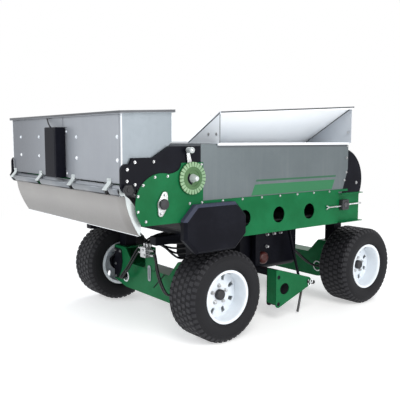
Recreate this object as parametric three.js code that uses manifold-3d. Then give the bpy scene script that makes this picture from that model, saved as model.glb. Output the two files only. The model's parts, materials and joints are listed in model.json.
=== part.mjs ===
import * as THREE from 'three';
import { mergeVertices } from 'three/addons/utils/BufferGeometryUtils.js';
import Module from 'manifold-3d';

const wasm = await Module();
wasm.setup();

// Self-propelled lawn topdresser: a hopper with a cleated conveyor floor feeds a beater at the rear,
// under a galvanised hood with a swinging deflector pan. Millimetres, +X forward, +Y left, +Z up.
// Everything is drawn with x = 0 over the rear axle; the finished group is then moved so that its
// origin is the middle of its footprint on the ground.

// Clearances and drawing steps
const seatGap = 0.3;
const slidingGap = 0.6;
const runningGap = 2;
const overrun = 5;
const wheelSteps = 18;
const roundSteps = 16;
const smallSteps = 10;
const arcSteps = 8;
const smallArcSteps = 5;
const nutSides = 6;
const sides = { right: -1, left: 1 };

// Wheels
const wheelbase = 1404;
const track = 1263;
const tyreRadius = 288;
const tyreWidth = 267;
const treadWidth = 206;
const treadCrown = 4;
const shoulderDepth = 24;
const shoulderRun = 23;
const sidewallRadius = 224;
const rimWidth = 238;
const rimFlangeRadius = 167.5;
const rimFlangeThickness = 6;
const rimBarrelRadius = 152;
const rimBarrelWall = 5;
const dishDepth = 90;
const discThickness = 8;
const discFlatRadius = 76;
const discConeRadius = 118;
const discConeDepth = 14;
const hubCapRadius = 34;
const hubCapLength = 30;
const hubFlangeRadius = 60;
const hubFlangeThickness = 14;
const discSlotCount = 8;
const discSlotLength = 52;
const discSlotWidth = 18;
const lugCount = 5;
const lugCircleRadius = 56;
const lugRadius = 10;
const lugLength = 16;
const wheelMotorRadius = 66;
const wheelMotorNoseRadius = 42;
const wheelMotorNoseLength = 45;

// Axles
const axlePlateSpread = 75;
const axlePlateThickness = 10;
const axleEndInset = 139.5;
const axleEndY = track / 2 - axleEndInset;
const axleBottom = 145;
const axleLobeTop = 445;
const axleLobeWidth = 162;
const axleLobeInnerY = axleEndY - axleLobeWidth;
const axleDipTop = 335;
const axleDipRun = 100;
const axleDipHalf = axleLobeInnerY - axleDipRun;
const axleCorner = 34;
const axleHoleZ = 227;
const axleHoleRadius = 34;
const axlePillarHalf = 45;
const axlePillarInset = 72;
const axlePillarY = axleEndY - axlePillarInset;

// Chassis rails and cross members
const railHalf = 32;
const railBottom = 600;
const railTop = 655;
const railRear = -330;
const railFront = 1390;
const crossTop = 700;
const crossWidth = 60;
const crossPlaces = { rear: -150, front: 930 };
const tankRear = 430;
const tankFront = 1010;
const tankRailGap = 8;
const tankHalf = axlePillarY - railHalf - tankRailGap;
const tankBottom = 300;
const tankChamfer = 30;
const filterX = 620;
const filterZ = 400;
const filterRadius = 46;
const filterLength = 60;

// Hydraulic hoses
const hoseRadius = 8;
const hoseSides = 6;
const hoseSteps = 13;
const hosePairGap = 24;
const hoseInset = 30;
const hoseSag = 26;
const tankHoseOut = 400;
const tankHoseIn = 520;
const tankHoseRise = 575;

// Side plates
const sideFace = 780;
const sideThickness = 5;
const lowPanelTop = 900;
const lowPanelBottom = 660;
const lowPanelFront = 1000;
const topStripFront = 1104;
const topStripDepth = 16;
const sideTop = 1120;
const sideFrontEdge = -222;
const sideShoulderX = -377;
const lobeRadius = 168;
const lobeFlat = 787;
const motorTabFront = 0;
const motorTabRear = -118;
const motorTabBottom = 620;
const viewHoleRadius = 52;
const viewHoleZ = 770;
const viewHolePlaces = [101, 402, 694];

// Beater
const beaterX = -508;
const beaterZ = 900;
const beaterShaftRadius = 22;
const beaterCoreRadius = 48;
const beaterTipRadius = 150;
const beaterEndGap = 37;
const beaterHalfLength = sideFace - sideThickness - beaterEndGap;
const paddleRows = 13;
const paddleLength = 92;
const paddleThickness = 9;
const paddleTurn = Math.PI / 3;
const bearingFlangeHalf = 52;
const bearingHubRadius = 34;
const bearingEarRadius = 18;
const bearingFlangeThickness = 12;
const bearingCapLength = 20;
const beaterMotorRadius = 48;
const beaterMotorLength = 62;

// Conveyor
const drumRearX = -280;
const drumFrontX = 1052;
const drumZ = 790;
const drumRadius = 62;
const drumEndGap = 47;
const drumHalf = sideFace - sideThickness - drumEndGap;
const drumShaftRadius = 18;
const beltMargin = 6;
const beltHalf = drumHalf - beltMargin;
const beltThickness = 8;
const cleatCount = 22;
const cleatWidth = 12;
const cleatHeight = 9;
const bedThickness = 6;
const bedRear = -196;
const bedFront = 968;

// Conveyor drive behind the side guard
const motorSprocketX = -60;
const motorSprocketZ = 668;
const motorSprocketRadius = 30;
const motorSprocketTeeth = 10;
const drumSprocketRadius = 45;
const drumSprocketTeeth = 15;
const sprocketThickness = 7;
const toothDepth = 5;
const toothShares = [[-0.5, 1], [-0.2, 0], [0.2, 0]];
const chainWidth = 12;
const chainSlack = 0.8;
const chainThickness = 9;
const driveMotorRadius = 40;
const driveMotorLength = 130;
const driveMotorNoseRadius = 32;
const driveMotorNoseLength = 40;
const guardRear = -384;
const guardFront = 84;
const guardBottom = 602;
const guardTop = 884;
const guardCorner = 84;
const guardDepth = 46;
const guardBevel = 16;
const guardWall = 4;

// Take-up for the front drum
const takeupRear = 972;
const takeupFront = 1240;
const takeupTop = 872;
const takeupBottom = 664;
const takeupFlange = 36;
const takeupBlockHalf = 36;
const takeupScrewRadius = 7;

// Hopper
const hopperFace = 775;
const hopperSheet = 4;
const hopperBottom = 872;
const hopperTop = 1224;
const hopperRear = -236;
const hopperFront = 1104;
const hopperFrontBend = 1040;
const hopperFrontFoot = 1042;
const rearWallX = -120;
const rearWallBottom = 1016;
const rearWallLegWidth = 44;
const gateThickness = 5;
const gateEndGap = 19;
const gateHalf = hopperFace - hopperSheet - gateEndGap;
const gateBottom = 876;
const gateTop = 1060;
const gateKeeper = 5;
const gateLugThickness = 6;
const gateLugHalf = 22;
const gateLugNoseHalf = 10;

// Flared extension over each side of the hopper
const flareOuter = 800;
const flareFootRear = 500;
const flareSheet = 4;
const flareShelf = hopperTop + flareSheet;
const flareRiseRear = 176;
const flareRiseFront = 247;
const flareTopRear = flareShelf + flareRiseRear;
const flareTopFront = flareShelf + flareRiseFront;
const flareLipWidth = 14;
const flareLipDepth = 15;
const flareRimDrop = 14;
const flareSkirt = 60;

// Gate control
const dialX = -306;
const dialZ = 1033;
const dialRadius = 92;
const dialNotchCount = 26;
const dialNotchDepth = 5;
const dialNotchHalfAngle = 0.04;
const dialThickness = 8;
const dialRecessRadius = 46;
const dialRecessDepth = 3;
const gateShaftRadius = 12;
const gateArmThickness = 10;
const gateArmHalf = 15;
const gateArmReach = 140;
const gateArmStart = 25;
const gateArmPlaces = [-600, 600];
const gatePinRadius = 5;
const leverLength = 160;
const leverAngle = 101;
const leverHalf = 9;
const leverThickness = 6;
const leverHubRadius = 24;
const leverGripRadius = 17;
const leverGripLength = 52;
const dialPadInner = 36;
const dialPadOuter = 78;
const shaftKnobLength = 38;
const shaftKnobRadius = 24;
const shaftKnobTip = 13;

// Rear hood
const hoodRear = -743;
const hoodFront = -425;
const hoodFace = 755;
const hoodSheet = 4;
const hoodTopRear = 1396;
const hoodTopFront = 1411;
const hoodRearBottom = 1018;
const hoodFrontBend = 1238;
const hoodFrontFootX = -526;
const hoodFrontFootZ = 1132;
const hoodSideBottomX = -640;
const hoodSideBottomZ = 1075;
const hoodLip = 15;
const hoodLipDepth = 16;
const coverBoxLeft = 56;
const coverBoxRight = -105;
const coverBoxBottom = 1018;
const coverBoxTop = 1320;
const coverBoxDepth = 66;
const coverBoxEdge = 10;

// Deflector pan and its hinge
const hingeX = -729;
const hingeZ = 989;
const hingeTubeRadius = 18;
const hingeTubeOut = 4;
const hingeTubeHalf = sideFace + hingeTubeOut;
const strapPlaces = [714, 268, -203, -631];
const strapWidth = 42;
const strapTop = 1042;
const strapThickness = 6;
const strapBendZ = 1016;
const strapReach = 32;
const strapDrop = 34;
const panEndGap = 3;
const panHalf = hoodFace - panEndGap;
const panSheet = 4;
const panRollSteps = 5;
const panFaceSteps = 6;
const panRollRadius = 40;
const strapClearance = 6;
const panNotchDrop = 37;
const panRollEnd = 175;
const panRollFoot = 265;
const panCurve = [[-725, 954], [-712, 884], [-678, 801], [-640, 734]];
const panLip = 12;
const panEndWidth = 52;
const panEarRadius = 26;
const clampKnobRadius = 30;
const clampKnobLobes = 6;
const clampKnobWaist = 4;
const clampKnobLength = 26;

// Brackets that carry the hood on the side plates
const bracketLobeX = -723;
const bracketLobeTopZ = 1088;
const bracketLobeBottomZ = 1008;
const bracketLobeRadius = 34;
const bracketTop = 1152;
const bracketRiseX = -560;
const bracketUpperX = -455;
const bracketUpperTop = 1212;
const bracketFront = -240;
const bracketBottom = 1004;
const bracketWindowRadius = 130;

// Front end
const deckThickness = 8;
const deckRear = 1110;
const deckLeft = 452;
const deckRight = 660;
const frontGuardCentreX = 1137;
const frontGuardCentreZ = 951;
const frontGuardRadius = 232;
const frontGuardFace = 702;
const frontGuardDepth = 120;
const frontGuardWall = 5;
const frontGuardFlatX = 1140;
const guardFootWidth = 90;
const guardFootLength = 70;
const guardFootX = 1200;
const engineRear = 1142;
const engineFront = 1362;
const engineRight = -440;
const engineLeft = -60;
const engineCaseTop = 880;
const engineHeadTop = 1080;
const engineFanRadius = 128;
const engineFanDepth = 70;
const engineShaftRadius = 16;
const crankHeight = 130;
const finCount = 4;
const finDepth = 18;
const finThickness = 8;
const pumpFlangeRadius = 58;
const pumpRadius = 53;
const pumpFootHalf = 29;
const pumpLength = 150;
const pumpHousingLength = 60;

// Hydraulic valve block on the rear axle
const valveHalfWidth = 34;
const valveDepth = 60;
const valveBottom = 430;
const valveTop = 502;
const valveTabHalf = 60;
const fittingRadius = 9;
const fittingLength = 34;
const fittingSpacing = 34;

// Stand yoke on the right rail and its prop
const yokeOuterY = -652;
const yokeInnerY = -560;
const yokePlate = 8;
const yokeRearX = 520;
const yokeTopZ = 362;
const yokeBottomZ = 96;
const yokeCornerRadius = 26;
const yokeApexX = 846;
const yokeApexZ = 236;
const yokeApexRadius = 34;
const yokeHoleX = 605;
const yokeHoleZ = 222;
const yokeHoleRadius = 44;
const yokeSmallHoleRadius = 15;
const yokeHangerHalf = 22;
const yokeHangerX = 548;
const yokeStayRadius = 10;
const yokeStayX = 880;
const yokeStayDrop = 12;
const propPinRadius = 11;
const propRodRadius = 9;
const propFootX = 792;
const propFootZ = 3;
const propHandleX = 962;
const propHandleZ = 205;
const propGripRadius = 15;
const propGripLength = 62;

// Finishes
const finishes = {
  galvanised: { color: 0xa9adb4, roughness: 0.42, metalness: 0.85 },
  paleSheet: { color: 0xd9dee2, roughness: 0.4, metalness: 0.6 },
  green: { color: 0x1f7a4a, roughness: 0.38, metalness: 0.1 },
  darkGreen: { color: 0x1b5c39, roughness: 0.45, metalness: 0.1 },
  black: { color: 0x1d1f26, roughness: 0.45, metalness: 0.2 },
  steel: { color: 0xb9bbbd, roughness: 0.3, metalness: 0.95 },
  darkSteel: { color: 0x4a4c50, roughness: 0.5, metalness: 0.8 },
  rubber: { color: 0x2b2c30, roughness: 0.85, metalness: 0 },
  white: { color: 0xe6ebee, roughness: 0.35, metalness: 0.1 },
  dial: { color: 0x9bb23a, roughness: 0.5, metalness: 0.1 },
};

const degrees = Math.PI / 180;

// Turns a closed geometry into a solid, with shared points merged and its faces pointing out. A
// geometry without normals shares its points already.
function solidOf(geometry) {
  const plain = geometry.clone();
  plain.deleteAttribute('normal');
  plain.deleteAttribute('uv');
  const merged = geometry.attributes.normal ? mergeVertices(plain, 1e-3) : plain;
  const place = merged.attributes.position;
  const corners = merged.index.array;
  const kept = [];
  let volume = 0;
  const [a, b, c] = [new THREE.Vector3(), new THREE.Vector3(), new THREE.Vector3()];
  for (let i = 0; i < corners.length; i += 3) {
    const [p, q, r] = [corners[i], corners[i + 1], corners[i + 2]];
    if (p === q || q === r || r === p) continue;
    a.fromBufferAttribute(place, p);
    b.fromBufferAttribute(place, q);
    c.fromBufferAttribute(place, r);
    volume += a.dot(b.cross(c));
    kept.push(p, q, r);
  }
  if (volume < 0) kept.reverse();
  return new wasm.Manifold(new wasm.Mesh({
    numProp: 3,
    vertProperties: new Float32Array(place.array),
    triVerts: new Uint32Array(kept),
  }));
}

function geometryOf(solid) {
  const mesh = solid.getMesh();
  const geometry = new THREE.BufferGeometry();
  geometry.setAttribute('position', new THREE.BufferAttribute(new Float32Array(mesh.vertProperties), 3));
  geometry.setIndex(new THREE.BufferAttribute(new Uint32Array(mesh.triVerts), 1));
  return geometry;
}

function join(...geometries) {
  return geometryOf(geometries.map(solidOf).reduce((whole, next) => whole.add(next)));
}

function cut(geometry, ...tools) {
  return geometryOf(tools.map(solidOf).reduce((whole, tool) => whole.subtract(tool), solidOf(geometry)));
}

// A box between limits given as [low, high] along each axis
function block([x0, x1], [y0, y1], [z0, z1]) {
  return new THREE.BoxGeometry(x1 - x0, y1 - y0, z1 - z0)
    .translate((x0 + x1) / 2, (y0 + y1) / 2, (z0 + z1) / 2);
}

// A round bar along one axis, centred on the two other coordinates
function barY(x, z, radius, [y0, y1], steps = roundSteps) {
  return new THREE.CylinderGeometry(radius, radius, y1 - y0, steps).translate(x, (y0 + y1) / 2, z);
}

function barX(y, z, radius, [x0, x1], steps = roundSteps) {
  return new THREE.CylinderGeometry(radius, radius, x1 - x0, steps)
    .rotateZ(-Math.PI / 2).translate((x0 + x1) / 2, y, z);
}

// A round bar between two points
function barBetween(start, end, radius, steps = smallSteps) {
  const along = new THREE.Vector3().subVectors(end, start);
  const up = new THREE.Vector3(0, 1, 0);
  const turn = new THREE.Quaternion().setFromUnitVectors(up, along.clone().normalize());
  return new THREE.CylinderGeometry(radius, radius, along.length(), steps)
    .applyQuaternion(turn)
    .translate((start.x + end.x) / 2, (start.y + end.y) / 2, (start.z + end.z) / 2);
}

// The radius of a faceted bore that clears a faceted shaft in every turned position
function boreFor(radius, steps = roundSteps) {
  return (radius + seatGap) / Math.cos(Math.PI / steps);
}

// The angle at which a straight edge that runs round two circles leaves the first one, with the
// circles on its left
function tangentAngle([x0, z0], radius0, [x1, z1], radius1) {
  const heading = Math.atan2(z1 - z0, x1 - x0);
  return heading - Math.acos((radius0 - radius1) / Math.hypot(x1 - x0, z1 - z0));
}

function outline(points) {
  return new THREE.Shape(points.map(([a, b]) => new THREE.Vector2(a, b)));
}

function holeIn(shape, a, b, radius) {
  const hole = new THREE.Path();
  hole.absarc(a, b, radius, 0, 2 * Math.PI, true);
  shape.holes.push(hole);
  return shape;
}

const acrossY = new THREE.Matrix4().makeBasis(
  new THREE.Vector3(1, 0, 0), new THREE.Vector3(0, 0, 1), new THREE.Vector3(0, -1, 0));
const acrossX = new THREE.Matrix4().makeBasis(
  new THREE.Vector3(0, 1, 0), new THREE.Vector3(0, 0, 1), new THREE.Vector3(1, 0, 0));

// An outline drawn out to a plate, with its holes cut right through
function drawnOut(shape, depth, steps) {
  const solid = (points, height, from) => new THREE.ExtrudeGeometry(new THREE.Shape(points), {
    depth: height, bevelEnabled: false, curveSegments: steps,
  }).translate(0, 0, from);
  const { shape: edge, holes } = shape.extractPoints(steps);
  const body = solid(edge, depth, 0);
  if (holes.length === 0) return body;
  return cut(body, ...holes.map((points) => solid(points, depth + 2 * overrun, -overrun)));
}

// A plate whose outline is drawn in X and Z, between two Y limits
function plateY(shape, [y0, y1], steps = 6) {
  return drawnOut(shape, y1 - y0, steps).applyMatrix4(acrossY).translate(0, y1, 0);
}

// A plate whose outline is drawn in Y and Z, between two X limits
function plateX(shape, [x0, x1], steps = 6) {
  return drawnOut(shape, x1 - x0, steps).applyMatrix4(acrossX).translate(x0, 0, 0);
}

// Limits on one side of the machine, from distances off the middle plane
function off(side, near, far) {
  return side < 0 ? [-far, -near] : [near, far];
}

// A bent sheet: an open run of points given a thickness to its left, as a closed outline
function sheetOutline(run, thickness) {
  const offset = run.map((point, i) => {
    const before = run[Math.max(i - 1, 0)];
    const after = run[Math.min(i + 1, run.length - 1)];
    const into = new THREE.Vector2(point[0] - before[0], point[1] - before[1]).normalize();
    const out = new THREE.Vector2(after[0] - point[0], after[1] - point[1]).normalize();
    const along = into.clone().add(out).normalize();
    const lean = along.dot(out.lengthSq() > 0 ? out : into);
    return [point[0] - along.y * thickness / lean, point[1] + along.x * thickness / lean];
  });
  return outline([...run, ...offset.reverse()]);
}

// A solid between two outlines with the same number of points, drawn in Y and Z at two X places
function loft(x0, outline0, x1, outline1) {
  const flat = outline0.map(([y, z]) => new THREE.Vector2(y, z));
  const clockwise = THREE.ShapeUtils.isClockWise(flat);
  const ordered = (points) => (clockwise ? [...points].reverse() : points);
  const count = flat.length;
  const place = [];
  for (const [y, z] of ordered(outline0)) place.push(x0, y, z);
  for (const [y, z] of ordered(outline1)) place.push(x1, y, z);
  const corners = [];
  for (let i = 0; i < count; i++) {
    const next = (i + 1) % count;
    corners.push(i, next, count + next, i, count + next, count + i);
  }
  const caps = THREE.ShapeUtils.triangulateShape(ordered(flat), []);
  for (const [a, b, c] of caps) corners.push(c, b, a, count + a, count + b, count + c);
  const geometry = new THREE.BufferGeometry();
  geometry.setAttribute('position', new THREE.BufferAttribute(new Float32Array(place), 3));
  geometry.setIndex(corners);
  return geometry;
}

const topdresser = new THREE.Group();
topdresser.name = 'topdresser';

function add(name, geometry, finish, place = [0, 0, 0], parent = topdresser) {
  const material = new THREE.MeshStandardMaterial({ ...finishes[finish], flatShading: true });
  const closed = geometryOf(solidOf(geometry));
  closed.computeVertexNormals();
  const mesh = new THREE.Mesh(closed, material);
  mesh.name = name;
  mesh.position.set(...place);
  parent.add(mesh);
  return mesh;
}

// Wheels: a turf tyre on a deep-dish rim whose centre carries the hub, drawn about the Y axis with
// the outboard side towards +Y

const rimHalf = rimWidth / 2;
const tyreSeat = rimHalf - rimFlangeThickness - seatGap;
const discFace = rimHalf - dishDepth;
const hubBack = discFace - discThickness - hubFlangeThickness;

// A profile of [radius, place across] points turned about the axle line. The flats of the faceted
// form, and not its corners, lie at the profile's radii, so the tyres stand on flats.
function wheelForm(points) {
  const grow = 1 / Math.cos(Math.PI / wheelSteps);
  const profile = points.map(([r, y]) => new THREE.Vector2(r * grow, y));
  return new THREE.LatheGeometry(profile, wheelSteps, Math.PI / wheelSteps);
}

function tyreGeometry() {
  const half = [
    [rimBarrelRadius + seatGap, tyreSeat],
    [rimFlangeRadius + seatGap, tyreSeat],
    [sidewallRadius, tyreWidth / 2],
    [tyreRadius - treadCrown - shoulderDepth, treadWidth / 2 + shoulderRun],
    [tyreRadius - treadCrown, treadWidth / 2],
  ];
  return wheelForm([...half, [tyreRadius, 0], ...half.map(([r, y]) => [r, -y]).reverse(), half[0]]);
}

function rimGeometry() {
  const inner = rimBarrelRadius - rimBarrelWall;
  const flangeFoot = rimHalf - rimFlangeThickness;
  const points = [
    [0, discFace + hubCapLength],
    [hubCapRadius, discFace + hubCapLength],
    [hubCapRadius, discFace],
    [discFlatRadius, discFace],
    [discConeRadius, discFace - discConeDepth],
    [inner, discFace - discConeDepth],
    [inner, flangeFoot],
    [rimFlangeRadius - rimBarrelWall, rimHalf],
    [rimFlangeRadius, rimHalf],
    [rimFlangeRadius, flangeFoot],
    [rimBarrelRadius, flangeFoot],
    [rimBarrelRadius, -flangeFoot],
    [rimFlangeRadius, -flangeFoot],
    [rimFlangeRadius, -rimHalf],
    [inner, -rimHalf],
    [inner, discFace - discConeDepth - discThickness],
    [hubFlangeRadius, discFace - discThickness],
    [hubFlangeRadius, hubBack],
    [0, hubBack],
  ];
  const slotRadius = (discFlatRadius + inner) / 2;
  const slots = [];
  for (let i = 0; i < discSlotCount; i++) {
    const slot = new THREE.BoxGeometry(discSlotWidth, dishDepth, discSlotLength);
    slots.push(slot.translate(slotRadius, discFace, 0).rotateY(2 * Math.PI * (i + 0.5) / discSlotCount));
  }
  const lugs = [];
  for (let i = 0; i < lugCount; i++) {
    const lug = new THREE.CylinderGeometry(lugRadius, lugRadius, lugLength + discThickness, nutSides);
    lug.translate(lugCircleRadius, discFace + (lugLength - discThickness) / 2, 0);
    lugs.push(lug.rotateY(2 * Math.PI * i / lugCount));
  }
  return join(cut(wheelForm(points), ...slots), ...lugs);
}

const tyre = tyreGeometry();
const rim = rimGeometry();
const motorOuterFace = track / 2 + hubBack - seatGap;

function wheelMotorGeometry(side) {
  const noseFrom = motorOuterFace - wheelMotorNoseLength;
  const body = barY(0, 0, wheelMotorRadius, off(side, axleEndY + seatGap, noseFrom), smallSteps);
  const nose = barY(0, 0, wheelMotorNoseRadius, off(side, noseFrom - overrun, motorOuterFace), smallSteps);
  return join(body, nose);
}

const axlePlaces = { rear: 0, front: wheelbase };
for (const [end, x] of Object.entries(axlePlaces)) {
  for (const [name, side] of Object.entries(sides)) {
    const corner = new THREE.Group();
    corner.position.set(x, side * track / 2, tyreRadius);
    corner.rotation.z = side < 0 ? Math.PI : 0;
    topdresser.add(corner);
    add(`${end}_${name}_tyre`, tyre, 'rubber', [0, 0, 0], corner);
    add(`${end}_${name}_rim`, rim, 'white', [0, 0, 0], corner);
    add(`${end}_${name}_wheel_motor`, wheelMotorGeometry(side), 'black', [x, 0, tyreRadius]);
  }
}

// Axles: a pair of cut plates with raised lobes at the wheels, end plates for the wheel motors, a
// bridge in the dip and a pillar under each rail

function axleGeometry(withValveTab) {
  const inner = axleEndY - axlePlateThickness;
  const foot = axleBottom + axleCorner;
  const lobeSheet = [axleLobeTop - axlePlateThickness, axleLobeTop];
  const dipSheet = [axleDipTop - axlePlateThickness, axleDipTop];
  const plate = outline([
    [-inner, foot], [-axleLobeInnerY, axleBottom], [axleLobeInnerY, axleBottom],
    [inner, foot], [inner, axleLobeTop], [axleLobeInnerY, axleLobeTop],
    [axleDipHalf, axleDipTop], [-axleDipHalf, axleDipTop], [-axleLobeInnerY, axleLobeTop],
    [-inner, axleLobeTop],
  ]);
  for (const side of Object.values(sides)) {
    holeIn(plate, side * axleLobeInnerY, axleHoleZ, axleHoleRadius);
  }
  const pieces = [];
  for (const face of [-axlePlateSpread, axlePlateSpread - axlePlateThickness]) {
    pieces.push(plateX(plate, [face, face + axlePlateThickness]));
  }
  const span = [-axlePlateSpread, axlePlateSpread];
  for (const side of Object.values(sides)) {
    const pillar = [side * axlePillarY - axlePillarHalf, side * axlePillarY + axlePillarHalf];
    const pillarHeight = [axleLobeTop - overrun, railBottom - seatGap];
    pieces.push(block(span, off(side, inner - seatGap, axleEndY), [foot, axleLobeTop]));
    pieces.push(block([-axlePillarHalf, axlePillarHalf], pillar, pillarHeight));
    pieces.push(block(span, off(side, axleLobeInnerY, inner), lobeSheet));
  }
  pieces.push(block(span, [-axleDipHalf, axleDipHalf], dipSheet));
  if (withValveTab) {
    const tab = [-axlePlateSpread, -axlePlateSpread + axlePlateThickness];
    pieces.push(block(tab, [-valveTabHalf, valveTabHalf], [axleDipTop - overrun, valveTop]));
  }
  return join(...pieces);
}

add('rear_axle', axleGeometry(true), 'green');
add('front_axle', axleGeometry(false), 'green', [wheelbase, 0, 0]);

// A round hose drawn along a smooth run of points

function hose(points) {
  const ring = new THREE.Shape();
  ring.absarc(0, 0, hoseRadius, 0, 2 * Math.PI, false);
  const extrudePath = new THREE.CatmullRomCurve3(points.map((point) => new THREE.Vector3(...point)));
  return new THREE.ExtrudeGeometry(ring, { extrudePath, steps: hoseSteps, curveSegments: hoseSides / 2 });
}

// The last part of a motor's hose: in through the hole of an axle's rear plate and along between the
// plates to the end plate that carries the motor

function motorHoseEnd(axleX, side, share) {
  const inPlate = axleLobeInnerY + share * hosePairGap;
  const height = (axleHoleZ + tyreRadius) / 2;
  const end = axleEndY - axlePlateThickness - 2 * seatGap;
  return [
    [axleX - axlePlateSpread, side * inPlate, axleHoleZ],
    [axleX + share * hosePairGap, side * (inPlate + hoseInset + hosePairGap), height],
    [axleX + share * hosePairGap, side * (end - hoseInset), tyreRadius],
    [axleX + share * hosePairGap, side * end, tyreRadius],
  ];
}

// A hose from the front face of the tank to the end plate of the front axle
function motorHose(axleX, startX, side, share) {
  const y = side * (axleLobeInnerY + share * hosePairGap - hoseInset);
  return hose([
    [startX, y, tankHoseOut], [startX + 2 * hoseInset, y, tankHoseOut - hoseSag / 2],
    [axleX - axlePlateSpread - 2 * hoseInset, y, axleHoleZ + hoseSag],
    ...motorHoseEnd(axleX, side, share),
  ]);
}

// Hydraulic valve block with two fittings to each side, bolted on the rear face of its tab. A hose
// runs from each fitting to the motor on its side, and two from the top of the block to the tank.

function valveGeometry() {
  const face = -axlePlateSpread - seatGap;
  const body = [face - valveDepth, face];
  const pieces = [block(body, [-valveHalfWidth, valveHalfWidth], [valveBottom, valveTop])];
  const x = face - valveDepth / 2;
  const bend = x - hoseInset;
  const reach = valveHalfWidth + fittingLength;
  for (const share of [-0.5, 0.5]) {
    const z = (valveBottom + valveTop) / 2 + share * fittingSpacing;
    pieces.push(barY(x, z, fittingRadius, [-reach, reach], smallSteps));
    for (const side of Object.values(sides)) {
      const inPlate = axleLobeInnerY + share * hosePairGap;
      pieces.push(hose([
        [x, side * (reach - overrun), z], [x, side * (reach + hoseInset), z],
        [bend, side * (reach + inPlate) / 2, (z + axleHoleZ) / 2 - hoseSag],
        [bend, side * (inPlate - hoseInset), axleHoleZ],
        ...motorHoseEnd(0, side, share),
      ]));
    }
    const y = share * fittingSpacing;
    pieces.push(hose([
      [x, y, valveTop - overrun], [x, y, valveTop + hoseInset],
      [0, y, tankHoseRise], [tankRear / 2, y, tankHoseRise],
      [tankRear - 2 * hoseInset, y, tankHoseIn], [tankRear - seatGap, y, tankHoseIn],
    ]));
  }
  return join(...pieces);
}

add('valve_block', valveGeometry(), 'steel');

// Chassis: two rails on the axle pillars and two cross members between the side plates. The front
// one carries the oil tank welded under it between the rails, with a filter on its right side and
// the hoses of the front wheel motors.

for (const [name, side] of Object.entries(sides)) {
  const across = [side * axlePillarY - railHalf, side * axlePillarY + railHalf];
  add(`${name}_rail`, block([railRear, railFront], across, [railBottom, railTop]), 'black');
}

function crossGeometry(x) {
  const reach = sideFace - sideThickness - seatGap;
  return block([x - crossWidth / 2, x + crossWidth / 2], [-reach, reach], [railTop + seatGap, crossTop]);
}

function tankGeometry() {
  const foot = tankHalf - tankChamfer;
  const section = outline([
    [-tankHalf, tankBottom + tankChamfer], [-foot, tankBottom], [foot, tankBottom],
    [tankHalf, tankBottom + tankChamfer], [tankHalf, railTop], [-tankHalf, railTop],
  ]);
  const middle = crossPlaces.front;
  const neck = [middle - crossWidth / 2, middle + crossWidth / 2];
  const pieces = [
    crossGeometry(middle),
    plateX(section, [tankRear, tankFront]),
    block(neck, [-tankHalf, tankHalf], [railTop - overrun, crossTop]),
    barY(filterX, filterZ, filterRadius, [-tankHalf - filterLength, -tankHalf + overrun]),
  ];
  for (const side of Object.values(sides)) {
    for (const share of [-0.5, 0.5]) pieces.push(motorHose(wheelbase, tankFront - overrun, side, share));
  }
  return join(...pieces);
}

add('rear_cross_member', crossGeometry(crossPlaces.rear), 'black');
add('front_cross_member', tankGeometry(), 'black');

// Green side plates: the round end that carries the beater, the dial shoulder and the low panel with
// its round holes, in one outline

function sidePlateGeometry(side) {
  const flatHalf = Math.sqrt(lobeRadius ** 2 - (beaterZ - lobeFlat) ** 2);
  const start = Math.atan2(lobeFlat - beaterZ, -flatHalf);
  const blend = Math.atan2(sideTop - beaterZ, sideShoulderX - beaterX) / 2 + Math.PI / 4;
  const shape = new THREE.Shape();
  shape.moveTo(beaterX + flatHalf, lobeFlat);
  shape.lineTo(beaterX - flatHalf, lobeFlat);
  shape.absarc(beaterX, beaterZ, lobeRadius, start, blend, true);
  shape.quadraticCurveTo(sideShoulderX, beaterZ + lobeRadius, sideShoulderX, sideTop);
  shape.lineTo(sideFrontEdge, sideTop);
  shape.lineTo(sideFrontEdge, lowPanelTop);
  shape.lineTo(topStripFront, lowPanelTop);
  shape.lineTo(topStripFront, lowPanelTop - topStripDepth);
  shape.lineTo(lowPanelFront, lowPanelTop - topStripDepth);
  shape.lineTo(lowPanelFront, lowPanelBottom);
  shape.lineTo(motorTabFront, lowPanelBottom);
  shape.lineTo(motorTabFront, motorTabBottom);
  shape.lineTo(motorTabRear, motorTabBottom);
  shape.lineTo(motorTabRear, lowPanelBottom);
  shape.lineTo(drumRearX - drumSprocketRadius, lowPanelBottom);
  shape.closePath();
  for (const x of viewHolePlaces) holeIn(shape, x, viewHoleZ, viewHoleRadius);
  holeIn(shape, beaterX, beaterZ, boreFor(beaterShaftRadius) + runningGap);
  holeIn(shape, drumRearX, drumZ, boreFor(drumShaftRadius));
  holeIn(shape, dialX, dialZ, boreFor(gateShaftRadius));
  if (side < 0) holeIn(shape, motorSprocketX, motorSprocketZ, motorSprocketRadius / 2 + runningGap);
  return plateY(shape, off(side, sideFace - sideThickness, sideFace), arcSteps);
}

for (const [name, side] of Object.entries(sides)) {
  add(`${name}_side_plate`, sidePlateGeometry(side), 'green');
}

// Galvanised hopper sides, lapped inside the green plates and bent in at the front foot

const hopperInner = hopperFace - hopperSheet;

for (const [name, side] of Object.entries(sides)) {
  const shape = outline([
    [hopperRear, hopperBottom], [hopperFrontFoot, hopperBottom], [hopperFront, hopperFrontBend],
    [hopperFront, hopperTop], [hopperRear, hopperTop],
  ]);
  const sheet = plateY(shape, off(side, hopperInner - seatGap, hopperFace - seatGap));
  add(`${name}_hopper_side`, sheet, 'galvanised');
}

// Hopper front wall: upright, then raked back to the belt

function frontWallGeometry() {
  const run = [
    [hopperFront - hopperSheet, hopperTop - seatGap],
    [hopperFront - hopperSheet, hopperFrontBend],
    [hopperFrontFoot - hopperSheet, hopperBottom + hopperSheet],
  ];
  const reach = hopperInner - 2 * seatGap;
  return plateY(sheetOutline(run, hopperSheet), [-reach, reach]);
}

add('hopper_front_wall', frontWallGeometry(), 'galvanised');

// Hopper rear wall: a sheet with a leg down each side, and behind each leg a spacer and a keeper
// strip that hold the sliding gate

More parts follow.
